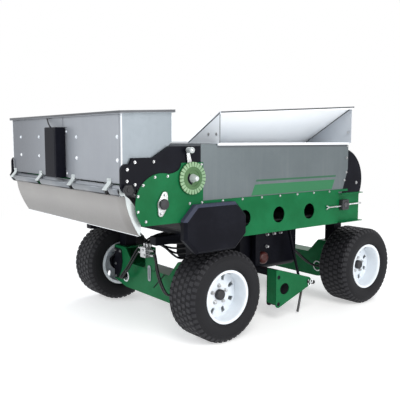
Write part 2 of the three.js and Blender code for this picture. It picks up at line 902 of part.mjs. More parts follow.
const gateFace = rearWallX - slidingGap;
const keeperFace = gateFace - gateThickness - slidingGap;

function rearWallGeometry() {
  const reach = hopperInner - 2 * seatGap;
  const leg = reach - rearWallLegWidth;
  const height = [gateBottom, hopperTop - seatGap];
  const wall = outline([
    [-reach, height[0]], [-leg, height[0]], [-leg, rearWallBottom],
    [leg, rearWallBottom], [leg, height[0]], [reach, height[0]],
    [reach, height[1]], [-reach, height[1]],
  ]);
  const pieces = [plateX(wall, [rearWallX, rearWallX + hopperSheet])];
  const back = keeperFace - gateKeeper;
  for (const side of Object.values(sides)) {
    pieces.push(block([back, rearWallX + seatGap], off(side, gateHalf + runningGap, reach), height));
    pieces.push(block([back, keeperFace], off(side, leg, reach), height));
  }
  return join(...pieces);
}

add('hopper_rear_wall', rearWallGeometry(), 'galvanised');

// Flared extension: a shelf on the hopper rim, a sloping sheet from its inner edge up to the outside,
// a rolled lip, a skirt into the hopper and a gusset that closes each end

const flareSlope = (flareTopRear - flareShelf) / (flareOuter - flareFootRear);
const flareFootFront = flareOuter - (flareTopFront - flareShelf) / flareSlope;

function flareGeometry(side) {
  const [rear, front] = [rearWallX, hopperFront];
  const mirrored = (points) => points.map(([y, z]) => [side * y, z]);
  const rimFace = flareOuter - flareLipWidth;
  const lipFace = flareOuter + flareLipWidth;
  const rise = flareSheet * Math.hypot(1, flareSlope);
  const section = (foot, top) => mirrored([
    [rimFace, flareShelf - flareRimDrop], [rimFace, flareShelf], [foot, flareShelf], [flareOuter, top],
    [lipFace - flareSheet, top], [lipFace - flareSheet, top - flareLipDepth],
    [lipFace, top - flareLipDepth], [lipFace, top + rise],
    [flareOuter, top + rise], [foot - flareSheet, flareShelf + rise - flareSheet * flareSlope],
    [foot - flareSheet, flareShelf - flareSkirt], [foot, flareShelf - flareSkirt],
    [foot, flareShelf - flareSheet], [rimFace - flareSheet, flareShelf - flareSheet],
    [rimFace - flareSheet, flareShelf - flareRimDrop],
  ]);
  const rearSection = section(flareFootRear, flareTopRear);
  const frontSection = section(flareFootFront, flareTopFront);
  const half = flareSheet / 2;
  const gusset = (foot, top, face) => plateX(outline(mirrored([
    [foot - half, flareShelf - half], [flareOuter - half, flareShelf - half],
    [flareOuter - half, top + rise / 2],
  ])), [face, face + flareSheet]);
  const wall = hopperSheet + seatGap;
  const skirt = off(side, flareFootFront - 2 * flareSheet, flareFootRear + flareSheet);
  const below = [flareShelf - flareSkirt - overrun, flareShelf - flareSheet - seatGap];
  return cut(
    join(
      loft(rear, rearSection, front, frontSection),
      gusset(flareFootRear, flareTopRear, rear + half),
      gusset(flareFootFront, flareTopFront, front - flareSheet - half),
    ),
    block([rear - overrun, rear + wall], skirt, below),
    block([front - wall, front + overrun], skirt, below),
  );
}

for (const [name, side] of Object.entries(sides)) {
  add(`${name}_hopper_flare`, flareGeometry(side), 'paleSheet', [0, 0, seatGap]);
}

// Metering gate: a sheet that slides up between the rear wall and its keepers. Beside each lifting
// arm a lug stands back from it, with a pin in the slot at the arm's end.

const gatePinX = dialX + gateArmReach;
const gatePinZ = dialZ - gateArmReach * Math.tan(gateArmStart * degrees);

function meteringGateGeometry() {
  const sheet = [gateFace - gateThickness, gateFace];
  const root = gateFace - gateThickness / 2;
  const nose = gatePinX - gatePinRadius;
  const lug = outline([
    [root, gatePinZ - gateLugHalf], [root, gatePinZ + gateLugHalf],
    [nose, gatePinZ + gateLugNoseHalf], [nose, gatePinZ - gateLugNoseHalf],
  ]);
  const pieces = [block(sheet, [-gateHalf, gateHalf], [gateBottom + runningGap, gateTop])];
  for (const y of gateArmPlaces) {
    const armFace = y + gateArmThickness / 2;
    const near = armFace + slidingGap;
    const far = near + gateLugThickness;
    const pin = [armFace - gateArmThickness, far - slidingGap];
    pieces.push(plateY(lug, [near, far]));
    pieces.push(barY(gatePinX, gatePinZ, gatePinRadius, pin, smallSteps));
  }
  return join(...pieces);
}

add('metering_gate', meteringGateGeometry(), 'steel');

// Gate shaft with its two slotted lifting arms and, over the dial, a tapered knob. The hand lever sits
// on the shaft between the side plate and the dial. The slots are long enough for the arc of the arms
// against the straight travel of the gate.

const dialFace = sideFace + leverThickness + 2 * seatGap + dialThickness;

function gateShaftGeometry() {
  const slotHalf = gatePinRadius + runningGap;
  const slotNear = gateArmReach - slotHalf;
  const slotFar = gateArmReach / Math.cos(gateArmStart * degrees) + slotHalf;
  const tip = slotFar + gateArmHalf - slotHalf;
  const arm = outline([
    [0, -gateArmHalf], [tip - slotHalf, -gateArmHalf], [tip, -slotHalf], [tip, slotHalf],
    [tip - slotHalf, gateArmHalf], [0, gateArmHalf],
  ]);
  const knobFoot = -(dialFace - dialRecessDepth + seatGap);
  const knobHeight = dialFace + shaftKnobLength + knobFoot;
  const knob = new THREE.CylinderGeometry(shaftKnobRadius, shaftKnobTip, knobHeight, roundSteps);
  const pieces = [
    barY(0, 0, gateShaftRadius, [knobFoot - overrun, sideFace]),
    knob.translate(0, knobFoot - knobHeight / 2, 0),
  ];
  for (const y of gateArmPlaces) {
    const limits = [y - gateArmThickness / 2, y + gateArmThickness / 2];
    const through = [limits[0] - overrun, limits[1] + overrun];
    const slot = block([slotNear, slotFar], through, [-slotHalf, slotHalf]);
    pieces.push(cut(plateY(arm, limits), slot).rotateY(gateArmStart * degrees));
  }
  return join(...pieces);
}

add('gate_shaft', gateShaftGeometry(), 'darkSteel', [dialX, 0, dialZ]);

function leverGeometry() {
  const base = -(sideFace + seatGap);
  const tip = [leverLength * Math.cos(leverAngle * degrees), leverLength * Math.sin(leverAngle * degrees)];
  const across = [Math.sin(leverAngle * degrees) * leverHalf, -Math.cos(leverAngle * degrees) * leverHalf];
  const arm = outline([
    [across[0], across[1]], [tip[0] + across[0], tip[1] + across[1]],
    [tip[0] - across[0], tip[1] - across[1]], [-across[0], -across[1]],
  ]);
  const blade = [base - leverThickness, base];
  const bore = barY(0, 0, boreFor(gateShaftRadius), [blade[0] - overrun, blade[1] + overrun]);
  return cut(
    join(
      plateY(arm, blade),
      barY(0, 0, leverHubRadius, blade),
      barY(tip[0], tip[1], leverGripRadius, [base - leverGripLength, base], smallSteps),
    ),
    bore,
  );
}

add('gate_lever', leverGeometry(), 'steel', [dialX, 0, dialZ]);

// Dial: a notched index disc with a recessed middle, held off the right side plate by a half ring at
// its back, below the sweep of the lever

function dialGeometry() {
  const points = [];
  const step = 2 * Math.PI / dialNotchCount;
  const ring = (radius, angle) => points.push([radius * Math.cos(angle), radius * Math.sin(angle)]);
  for (let i = 0; i < dialNotchCount; i++) {
    const angle = i * step;
    ring(dialRadius, angle - dialNotchHalfAngle);
    ring(dialRadius - dialNotchDepth, angle);
    ring(dialRadius, angle + dialNotchHalfAngle);
  }
  const disc = holeIn(outline(points), 0, 0, boreFor(gateShaftRadius, smallSteps));
  const back = dialThickness - dialFace;
  const body = plateY(disc, [-dialFace, back], smallArcSteps);
  const pad = new THREE.Shape();
  pad.absarc(0, 0, dialPadOuter, Math.PI, 2 * Math.PI, false);
  pad.absarc(0, 0, dialPadInner, 2 * Math.PI, Math.PI, true);
  pad.closePath();
  const rest = plateY(pad, [back - seatGap, -(sideFace + seatGap)], smallArcSteps);
  return cut(
    join(body, rest.translate(0, 0, -leverHalf)),
    barY(0, 0, dialRecessRadius, [-dialFace - overrun, dialRecessDepth - dialFace]),
  );
}

add('dial', dialGeometry(), 'dial', [dialX, 0, dialZ]);

// Conveyor belt: a closed loop round both drums with cleats at an even pitch

const beltRun = drumFrontX - drumRearX;

function stadium(shape, radius) {
  shape.moveTo(drumRearX, drumZ - radius);
  shape.lineTo(drumFrontX, drumZ - radius);
  shape.absarc(drumFrontX, drumZ, radius, -Math.PI / 2, Math.PI / 2, false);
  shape.lineTo(drumRearX, drumZ + radius);
  shape.absarc(drumRearX, drumZ, radius, Math.PI / 2, 3 * Math.PI / 2, false);
  return shape;
}

function beltGeometry() {
  const outer = drumRadius + beltThickness;
  const loop = stadium(new THREE.Shape(), outer);
  loop.holes.push(stadium(new THREE.Path(), drumRadius));
  const belt = plateY(loop, [-beltHalf, beltHalf], arcSteps);
  const turn = Math.PI * outer;
  const pitch = 2 * (beltRun + turn) / cleatCount;
  const cleats = [];
  for (let i = 0; i < cleatCount; i++) {
    const along = (i + 0.5) * pitch;
    const cleat = new THREE.BoxGeometry(cleatWidth, 2 * beltHalf, cleatHeight + beltThickness / 2);
    cleat.translate(0, 0, outer + (cleatHeight - beltThickness / 2) / 2);
    const back = along - beltRun - turn;
    if (along < beltRun) {
      cleat.translate(drumRearX + along, 0, drumZ);
    } else if (back < 0) {
      cleat.rotateY((along - beltRun) / outer).translate(drumFrontX, 0, drumZ);
    } else if (back < beltRun) {
      cleat.rotateY(Math.PI).translate(drumFrontX - back, 0, drumZ);
    } else {
      cleat.rotateY(Math.PI + (back - beltRun) / outer).translate(drumRearX, 0, drumZ);
    }
    cleats.push(cleat);
  }
  return join(belt, ...cleats);
}

add('conveyor_belt', beltGeometry(), 'rubber');

// Slider bed under the carrying run, between the side plates

const bedReach = sideFace - sideThickness - seatGap;
const bedTop = drumZ + drumRadius - seatGap;
const bedLevel = [bedTop - bedThickness, bedTop];
add('conveyor_bed', block([bedRear, bedFront], [-bedReach, bedReach], bedLevel), 'galvanised');

// A toothed sprocket about the Y axis

function sprocket(x, z, radius, teeth, limits) {
  const points = [];
  for (let i = 0; i < teeth; i++) {
    for (const [turnShare, depthShare] of toothShares) {
      const angle = 2 * Math.PI * (i + turnShare) / teeth;
      const reach = radius - depthShare * toothDepth;
      points.push([x + reach * Math.cos(angle), z + reach * Math.sin(angle)]);
    }
  }
  return plateY(outline(points), limits);
}

const sprocketFace = sideFace + guardWall;
const sprocketNear = sprocketFace + (chainWidth - sprocketThickness) / 2;
const sprocketLimits = off(sides.right, sprocketNear, sprocketNear + sprocketThickness);

function drumGeometry(x, shaftRight, shaftLeft) {
  return join(
    barY(x, drumZ, drumRadius - seatGap, [-drumHalf, drumHalf], roundSteps),
    barY(x, drumZ, drumShaftRadius, [-shaftRight, shaftLeft]),
  );
}

const driveShaftEnd = sprocketFace + chainWidth + guardWall;
const driveDrum = join(
  drumGeometry(drumRearX, driveShaftEnd, sideFace),
  sprocket(drumRearX, drumZ, drumSprocketRadius, drumSprocketTeeth, sprocketLimits),
);
add('drive_drum', driveDrum, 'darkSteel');

const takeupFace = sideFace - sideThickness - seatGap;
const idlerShaftEnd = takeupFace + takeupFlange - runningGap;
add('idler_drum', drumGeometry(drumFrontX, idlerShaftEnd, idlerShaftEnd), 'darkSteel');

// Drive motor behind the tab of the right side plate, with its sprocket and the roller chain

function driveMotorGeometry() {
  const face = -(sideFace - sideThickness - seatGap);
  const end = face + driveMotorLength;
  const nose = [end - overrun, end + driveMotorNoseLength];
  return join(
    barY(motorSprocketX, motorSprocketZ, driveMotorRadius, [face, end]),
    barY(motorSprocketX, motorSprocketZ, driveMotorNoseRadius, nose),
  );
}

add('drive_motor', driveMotorGeometry(), 'black');

const motorShaft = [-driveShaftEnd, -(sideFace - sideThickness)];
const motorSprocket = join(
  sprocket(motorSprocketX, motorSprocketZ, motorSprocketRadius, motorSprocketTeeth, sprocketLimits),
  barY(motorSprocketX, motorSprocketZ, motorSprocketRadius / 2, motorShaft),
);
add('motor_sprocket', motorSprocket, 'steel');

function chainGeometry() {
  const from = new THREE.Vector2(drumRearX, drumZ);
  const to = new THREE.Vector2(motorSprocketX, motorSprocketZ);
  const line = to.clone().sub(from);
  const heading = Math.atan2(line.y, line.x);
  const wrap = Math.acos((drumSprocketRadius - motorSprocketRadius) / line.length());
  const [upper, lower] = [heading + wrap, heading - wrap];
  const path = (shape, grow) => {
    shape.absarc(from.x, from.y, drumSprocketRadius + grow, upper, lower + 2 * Math.PI, false);
    shape.absarc(to.x, to.y, motorSprocketRadius + grow, lower, upper, false);
    shape.closePath();
    return shape;
  };
  const loop = path(new THREE.Shape(), chainSlack + chainThickness);
  loop.holes.push(path(new THREE.Path(), chainSlack));
  return plateY(loop, [-(sprocketFace + chainWidth), -sprocketFace], arcSteps);
}

add('drive_chain', chainGeometry(), 'darkSteel');

// Chain guard: a long octagonal cover with a bevelled face, open towards the side plate

function guardGeometry() {
  const octagon = (inset, corner) => {
    const [x0, x1] = [guardRear + inset, guardFront - inset];
    const [z0, z1] = [guardBottom + inset, guardTop - inset];
    return outline([
      [x0 + corner, z0], [x1 - corner, z0], [x1, z0 + corner], [x1, z1 - corner],
      [x1 - corner, z1], [x0 + corner, z1], [x0, z1 - corner], [x0, z0 + corner],
    ]);
  };
  const body = new THREE.ExtrudeGeometry(octagon(guardBevel, guardCorner - guardBevel / 2), {
    depth: guardDepth - guardBevel,
    bevelEnabled: true,
    bevelThickness: guardBevel,
    bevelSize: guardBevel,
    bevelSegments: 1,
  }).applyMatrix4(acrossY);
  const back = -(sideFace + seatGap);
  body.translate(0, back, 0);
  const long = [guardRear - overrun, guardFront + overrun];
  const high = [guardBottom - overrun, guardTop + overrun];
  const inside = octagon(guardBevel + guardWall, guardCorner - guardBevel);
  const hollow = plateY(inside, [back - guardDepth + guardWall, back + overrun]);
  return cut(body, block(long, [back, back + guardDepth], high), hollow);
}

add('chain_guard', guardGeometry(), 'black');

// Take-up channels, bearing blocks and screws for the front drum

function takeupChannelGeometry(side) {
  const base = off(side, takeupFace - sideThickness, takeupFace);
  const flange = off(side, takeupFace - sideThickness, takeupFace + takeupFlange);
  const through = off(side, takeupFace - sideThickness - overrun, takeupFace + overrun);
  const slotHalf = boreFor(drumShaftRadius);
  const slotEnds = [drumFrontX - takeupBlockHalf, drumFrontX + takeupBlockHalf];
  const flangeEnds = [lowPanelFront + runningGap, takeupFront];
  return cut(
    join(
      block([takeupRear, takeupFront], base, [takeupBottom, takeupTop]),
      block(flangeEnds, flange, [takeupTop - sideThickness, takeupTop]),
      block(flangeEnds, flange, [takeupBottom, takeupBottom + sideThickness]),
    ),
    block(slotEnds, through, [drumZ - slotHalf, drumZ + slotHalf]),
  );
}

function takeupBearingGeometry(side) {
  const around = (place) => [place - takeupBlockHalf, place + takeupBlockHalf];
  const body = off(side, takeupFace + seatGap, takeupFace + takeupFlange - 2 * runningGap);
  const through = off(side, takeupFace - overrun, takeupFace + takeupFlange + overrun);
  const screw = [drumFrontX + takeupBlockHalf - overrun, takeupFront];
  return join(
    cut(
      block(around(drumFrontX), body, around(drumZ)),
      barY(drumFrontX, drumZ, boreFor(drumShaftRadius), through),
    ),
    barX(side * (takeupFace + takeupFlange / 2), drumZ, takeupScrewRadius, screw, smallSteps),
  );
}

for (const [name, side] of Object.entries(sides)) {
  add(`${name}_takeup_channel`, takeupChannelGeometry(side), 'green');
  add(`${name}_takeup_bearing`, takeupBearingGeometry(side), 'darkSteel');
}

// Beater: a core tube with bolted paddles set round in a spiral, on a through shaft

function beaterGeometry() {
  const shaftReach = sideFace + bearingFlangeThickness + seatGap;
  const pieces = [
    barY(beaterX, beaterZ, beaterCoreRadius, [-beaterHalfLength, beaterHalfLength]),
    barY(beaterX, beaterZ, beaterShaftRadius, [-shaftReach, shaftReach]),
  ];
  const root = beaterCoreRadius / 2;
  const first = paddleLength / 2 - beaterHalfLength;
  const pitch = -2 * first / (paddleRows - 1);
  for (let i = 0; i < paddleRows; i++) {
    for (const opposite of [0, Math.PI]) {
      const paddle = new THREE.BoxGeometry(beaterTipRadius - root, paddleLength, paddleThickness);
      paddle.translate((beaterTipRadius + root) / 2, 0, root);
      paddle.rotateY(i * paddleTurn + opposite);
      pieces.push(paddle.translate(beaterX, first + i * pitch, beaterZ));
    }
  }
  return join(...pieces);
}

add('beater', beaterGeometry(), 'darkSteel');

// Two-bolt oval flange bearings outside the side plates, the right one with a closed cap

function bearingGeometry(side, capped) {
  const shape = new THREE.Shape();
  const lean = Math.acos((bearingHubRadius - bearingEarRadius) / bearingFlangeHalf);
  shape.absarc(-bearingFlangeHalf, 0, bearingEarRadius, Math.PI - lean, Math.PI + lean, false);
  shape.absarc(0, 0, bearingHubRadius, Math.PI + lean, 2 * Math.PI - lean, false);
  shape.absarc(bearingFlangeHalf, 0, bearingEarRadius, -lean, lean, false);
  shape.absarc(0, 0, bearingHubRadius, lean, Math.PI - lean, false);
  const face = sideFace + bearingFlangeThickness;
  const cap = off(side, face - overrun, face + bearingCapLength);
  const depth = capped ? face + 2 * seatGap : face + bearingCapLength + overrun;
  const flange = plateY(shape, off(side, sideFace + seatGap, face), smallArcSteps);
  return cut(
    join(flange, barY(0, 0, bearingHubRadius - seatGap, cap)),
    barY(0, 0, boreFor(beaterShaftRadius), off(side, sideFace - overrun, depth)),
  );
}

add('right_beater_bearing', bearingGeometry(sides.right, true), 'black', [beaterX, 0, beaterZ]);
add('left_beater_bearing', bearingGeometry(sides.left, false), 'black', [beaterX, 0, beaterZ]);

const beaterMotorFrom = sideFace + bearingFlangeThickness + bearingCapLength + seatGap;
const beaterMotorSpan = [beaterMotorFrom, beaterMotorFrom + beaterMotorLength];
add('beater_motor', barY(0, 0, beaterMotorRadius, beaterMotorSpan), 'black', [beaterX, 0, beaterZ]);

// Rear hood: an open box of galvanised sheet with a turned-out lip round its top

function hoodGeometry() {
  const shape = outline([
    [hoodRear, hoodRearBottom], [hoodSideBottomX, hoodSideBottomZ], [hoodFrontFootX, hoodFrontFootZ],
    [hoodFront, hoodFrontBend], [hoodFront, hoodTopFront], [hoodRear, hoodTopRear],
  ]);
  const inside = hoodFace - hoodSheet;
  const pieces = [];
  for (const side of Object.values(sides)) {
    pieces.push(plateY(shape, off(side, inside, hoodFace)));
    const lip = outline([
      [hoodRear - hoodLip, hoodTopRear - hoodLipDepth], [hoodFront + hoodLip, hoodTopFront - hoodLipDepth],
      [hoodFront + hoodLip, hoodTopFront], [hoodRear - hoodLip, hoodTopRear],
    ]);
    pieces.push(plateY(lip, off(side, inside, hoodFace + hoodLip)));
  }
  const across = [-inside - seatGap, inside + seatGap];
  const rearLip = [hoodTopRear - hoodLipDepth, hoodTopRear];
  const frontLip = [hoodTopFront - hoodLipDepth, hoodTopFront];
  const frontRun = [[hoodFrontFootX, hoodFrontFootZ], [hoodFront, hoodFrontBend], [hoodFront, hoodTopFront]];
  pieces.push(block([hoodRear, hoodRear + hoodSheet], across, [hoodRearBottom, hoodTopRear]));
  pieces.push(block([hoodRear - hoodLip, hoodRear + hoodSheet], across, rearLip));
  pieces.push(plateY(sheetOutline(frontRun, hoodSheet), across));
  pieces.push(block([hoodFront - hoodSheet, hoodFront + hoodLip], across, frontLip));
  return join(...pieces);
}

add('rear_hood', hoodGeometry(), 'galvanised');

// Black cover box on the rear wall of the hood

function coverBoxGeometry() {
  const face = hoodRear - seatGap;
  const section = outline([
    [face, coverBoxRight], [face, coverBoxLeft], [face - coverBoxDepth + coverBoxEdge, coverBoxLeft],
    [face - coverBoxDepth, coverBoxLeft - coverBoxEdge], [face - coverBoxDepth, coverBoxRight + coverBoxEdge],
    [face - coverBoxDepth + coverBoxEdge, coverBoxRight],
  ]);
  const depth = coverBoxTop - coverBoxBottom;
  const box = new THREE.ExtrudeGeometry(section, { depth, bevelEnabled: false });
  return box.translate(0, 0, coverBoxBottom);
}

add('rear_cover_box', coverBoxGeometry(), 'black');

// Hinge bar: the tube that the pan swings on, with four straps bolted to the hood's rear wall, each
// with a leaf that leans out over the pan's rolled edge

function hingeBarGeometry() {
  const pieces = [barY(hingeX, hingeZ, hingeTubeRadius, [-hingeTubeHalf, hingeTubeHalf])];
  const face = hoodRear - seatGap;
  const sheet = [face - strapThickness, face];
  const leaf = sheetOutline([
    [face, strapTop], [face, strapBendZ], [face - strapReach, strapBendZ - strapDrop],
  ], -strapThickness);
  for (const y of strapPlaces) {
    const across = [y - strapWidth / 2, y + strapWidth / 2];
    pieces.push(block(sheet, across, [hingeZ, strapTop]));
    pieces.push(plateY(leaf, across));
  }
  return join(...pieces);
}

add('hinge_bar', hingeBarGeometry(), 'steel');

// Deflector pan: a curved sheet whose top edge rolls round the hinge tube, notched for the straps,
// with a turned lip at the bottom and a crescent plate with an ear at each end

function panGeometry() {
  const roll = [];
  for (let i = 0; i <= panRollSteps; i++) {
    const angle = (panRollEnd + (panRollFoot - panRollEnd) * i / panRollSteps) * degrees;
    roll.push([hingeX + panRollRadius * Math.cos(angle), hingeZ + panRollRadius * Math.sin(angle)]);
  }
  const curve = new THREE.SplineCurve(panCurve.map(([x, z]) => new THREE.Vector2(x, z)));
  const face = curve.getPoints(panFaceSteps).map((point) => [point.x, point.y]);
  const last = face[face.length - 1];
  const run = [...roll, ...face.slice(1), [last[0] + panLip, last[1]]];
  const sheet = plateY(sheetOutline(run, panSheet), [-panHalf, panHalf]);
  const notchHalf = strapWidth / 2 + strapClearance;
  const notches = strapPlaces.map((y) => block(
    [hingeX - panRollRadius - overrun, hingeX],
    [y - notchHalf, y + notchHalf],
    [hingeZ - panNotchDrop, hingeZ + panRollRadius + overrun]));
  const crescent = outline([
    [hingeX - panEarRadius, hingeZ - panRollRadius + panSheet], ...face,
    ...[...face].reverse().map(([x, z], i, all) => {
      const swell = Math.sin(Math.PI * i / (all.length - 1));
      return [x + panSheet + panEndWidth * swell, z + panEndWidth * swell / 4];
    }),
    [hingeX + panEarRadius, hingeZ],
  ]);
  const pieces = [cut(sheet, ...notches)];
  for (const side of Object.values(sides)) {
    const limits = off(side, panHalf - panSheet, panHalf);
    pieces.push(plateY(crescent, limits));
    pieces.push(barY(hingeX, hingeZ, panEarRadius, limits));
  }
  const bore = barY(hingeX, hingeZ, boreFor(hingeTubeRadius), [-panHalf - overrun, panHalf + overrun]);
  return cut(join(...pieces), bore);
}

add('deflector_pan', panGeometry(), 'galvanised');

// Clamp knobs on the ends of the hinge bar

function knobGeometry(side) {
  const points = [];
  const steps = 4 * clampKnobLobes;
  for (let i = 0; i < steps; i++) {
    const angle = 2 * Math.PI * i / steps;
    const radius = clampKnobRadius - clampKnobWaist * (1 - Math.cos(clampKnobLobes * angle)) / 2;
    points.push([radius * Math.cos(angle), radius * Math.sin(angle)]);
  }
  return plateY(outline(points), off(side, hingeTubeHalf + seatGap, hingeTubeHalf + clampKnobLength));
}

for (const [name, side] of Object.entries(sides)) {
  add(`${name}_clamp_knob`, knobGeometry(side), 'black', [hingeX, 0, hingeZ]);
}

// Black brackets between the hood's sides and the side plates

function bracketGeometry(side) {
  const shape = new THREE.Shape();
  shape.moveTo(bracketFront, bracketBottom);
  shape.lineTo(bracketFront, bracketUpperTop);
  shape.lineTo(bracketUpperX, bracketUpperTop);
  shape.lineTo(bracketRiseX, bracketTop);
  shape.lineTo(bracketLobeX + bracketLobeRadius, bracketTop);
  shape.absarc(bracketLobeX, bracketLobeTopZ, bracketLobeRadius, Math.PI / 3, Math.PI, false);
  shape.absarc(bracketLobeX, bracketLobeBottomZ, bracketLobeRadius, Math.PI, 3 * Math.PI / 2, false);
  shape.lineTo(bracketLobeX + bracketLobeRadius, bracketLobeBottomZ - bracketLobeRadius);
  shape.lineTo(hoodSideBottomX, bracketBottom);
  shape.closePath();
  holeIn(shape, hingeX, hingeZ, boreFor(hingeTubeRadius, smallSteps));
  holeIn(shape, dialX, dialZ, boreFor(gateShaftRadius, smallSteps));
  return plateY(shape, off(side, hoodFace + seatGap, sideFace - sideThickness - seatGap), smallArcSteps);
}

for (const [name, side] of Object.entries(sides)) {
  const through = off(side, hoodFace - overrun, sideFace + overrun);
  const window = barY(beaterX, beaterZ, bracketWindowRadius, through);
  add(`${name}_hood_bracket`, cut(bracketGeometry(side), window), 'black');
}

// Front deck on the rails, with the engine, its pump and the round guard on the right

const deckLevel = [railTop + seatGap, railTop + deckThickness];
add('front_deck', block([deckRear, railFront], [-deckRight, deckLeft], deckLevel), 'darkGreen');

const deckTop = railTop + deckThickness + seatGap;

const engineMiddleX = (engineRear + engineFront) / 2;
const crankZ = deckTop + crankHeight;

function engineGeometry() {
  const middleY = (engineRight + engineLeft) / 2;
  const along = [engineRear, engineFront];
  const across = [engineRight, engineLeft];
  const inset = ([low, high]) => [low + finDepth, high - finDepth];
  const fan = [engineFront - overrun, engineFront + engineFanDepth - overrun];
  const shaft = [-frontGuardFace + frontGuardWall + runningGap, engineRight + overrun];
  const pieces = [
    block(along, across, [deckTop, engineCaseTop]),
    block(inset(along), inset(across), [engineCaseTop - overrun, engineHeadTop]),
    barX(middleY, (deckTop + engineHeadTop) / 2, engineFanRadius, fan),
    barY(engineMiddleX, crankZ, engineShaftRadius, shaft),
  ];
  for (let i = 0; i < finCount; i++) {
    const z = engineCaseTop + (engineHeadTop - engineCaseTop) * (i + 0.5) / finCount;
    pieces.push(block(along, across, [z - finThickness / 2, z + finThickness / 2]));
  }
  return join(...pieces);
}

function pumpGeometry() {
  const from = engineLeft - overrun;
  const foot = [engineMiddleX - pumpFootHalf, engineMiddleX + pumpFootHalf];
  return join(
    barY(engineMiddleX, crankZ, pumpFlangeRadius, [from, from + pumpHousingLength]),
    barY(engineMiddleX, crankZ, pumpRadius, [from, from + pumpLength]),
    block(foot, [from, from + pumpLength], [deckTop, crankZ]),
  );
}

add('engine', join(engineGeometry(), pumpGeometry()), 'darkSteel');

function frontGuardGeometry() {
  const guardShape = (inset) => {
    const shape = new THREE.Shape();
    const radius = frontGuardRadius - inset;
    const flat = frontGuardFlatX + inset;
    const topAngle = Math.acos((flat - frontGuardCentreX) / radius);
    shape.absarc(frontGuardCentreX, frontGuardCentreZ, radius, topAngle, -topAngle, true);
    shape.closePath();
    return shape;
  };
  const inner = -frontGuardFace + frontGuardDepth;
  const body = plateY(guardShape(0), [-frontGuardFace, inner], arcSteps);
  const inside = [-frontGuardFace + frontGuardWall, inner + overrun];
  const hollow = plateY(guardShape(frontGuardWall), inside, arcSteps);
  const along = [guardFootX - guardFootWidth / 2, guardFootX + guardFootWidth / 2];
  const reach = Math.sqrt(frontGuardRadius ** 2 - (along[1] - frontGuardCentreX) ** 2);
  const leg = [inner - guardFootLength, inner - guardFootLength + frontGuardWall];
  return join(
    cut(body, hollow),
    block(along, leg, [deckTop, frontGuardCentreZ - reach + frontGuardWall / 2]),
    block(along, [inner - guardFootLength, inner], [deckTop, deckTop + frontGuardWall]),
  );
}

add('front_guard', frontGuardGeometry(), 'black');

// Stand yoke: two cut plates joined by a rear flange, on a hanger under the right rail, with a stay
// from the front of the yoke up to the rail

function yokeGeometry() {
  const shape = new THREE.Shape();
  const toe = [yokeRearX + yokeCornerRadius, yokeBottomZ + yokeCornerRadius];
  const apex = [yokeApexX, yokeApexZ];
  const head = [yokeRearX + yokeCornerRadius, yokeTopZ];
  const under = tangentAngle(toe, yokeCornerRadius, apex, yokeApexRadius);
  const over = tangentAngle(apex, yokeApexRadius, head, 0);
  shape.moveTo(yokeRearX, toe[1]);
  shape.absarc(...toe, yokeCornerRadius, Math.PI, under, false);
  shape.absarc(...apex, yokeApexRadius, under, over, false);
  shape.lineTo(...head);
  shape.lineTo(yokeRearX, yokeTopZ);
  shape.closePath();
  holeIn(shape, yokeHoleX, yokeHoleZ, yokeHoleRadius);
  holeIn(shape, yokeRearX + yokeCornerRadius, yokeTopZ - 2 * yokeCornerRadius, yokeSmallHoleRadius);
  holeIn(shape, yokeRearX + yokeCornerRadius, yokeBottomZ + yokeCornerRadius, yokeSmallHoleRadius);
  holeIn(shape, yokeApexX, yokeApexZ, boreFor(propPinRadius, smallSteps));
  const rail = -axlePillarY;
  const around = (place) => [place - yokeHangerHalf, place + yokeHangerHalf];
  const armZ = [yokeTopZ - 2 * yokeHangerHalf - yokePlate, yokeTopZ - yokePlate];
  const railFace = railBottom - seatGap;
  const stayFoot = new THREE.Vector3(yokeApexX, yokeInnerY - yokePlate / 2, yokeApexZ + yokeApexRadius / 2);
  const stayTop = new THREE.Vector3(yokeStayX, rail, railFace - yokeStayDrop / 2);
  return join(
    plateY(shape, [yokeOuterY, yokeOuterY + yokePlate], smallArcSteps),
    plateY(shape, [yokeInnerY - yokePlate, yokeInnerY], smallArcSteps),
    block([yokeRearX, yokeRearX + yokePlate], [yokeOuterY, yokeInnerY], [toe[1], yokeTopZ]),
    block(around(yokeHangerX), [yokeInnerY - yokePlate, rail + yokeHangerHalf], armZ),
    block(around(yokeHangerX), around(rail), [armZ[0], railFace]),
    barBetween(stayFoot, stayTop, yokeStayRadius),
    block(around(yokeStayX), around(rail), [railFace - yokeStayDrop, railFace]),
  );
}

add('stand_yoke', yokeGeometry(), 'green');

// Prop: a bell crank on a cross pin, one arm down to the ground and one forward with a grip

function propGeometry() {
  const midY = (yokeOuterY + yokeInnerY) / 2;
  const pinEnds = [yokeOuterY - propPinRadius, yokeInnerY + propPinRadius];
  const pivot = new THREE.Vector3(yokeApexX, midY, yokeApexZ);
  const foot = new THREE.Vector3(propFootX, midY, propFootZ + propRodRadius);
  const handle = new THREE.Vector3(propHandleX, midY, propHandleZ);
  const gripStart = handle.clone().lerp(pivot, propGripLength / handle.distanceTo(pivot));
  return join(
    barY(yokeApexX, yokeApexZ, propPinRadius, pinEnds, smallSteps),
    barBetween(pivot, foot, propRodRadius),
    barBetween(pivot, handle, propRodRadius),
    barBetween(gripStart, handle, propGripRadius),
  );
}

add('stand_prop', propGeometry(), 'darkSteel');

// Origin at the middle of the footprint on the ground
topdresser.updateMatrixWorld(true);
const bounds = new THREE.Box3().setFromObject(topdresser);
const middle = bounds.getCenter(new THREE.Vector3());
topdresser.position.set(-middle.x, -middle.y, -bounds.min.z);

export default topdresser;
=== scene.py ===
import json
import math

import bmesh
import bpy
from mathutils import Matrix, Vector


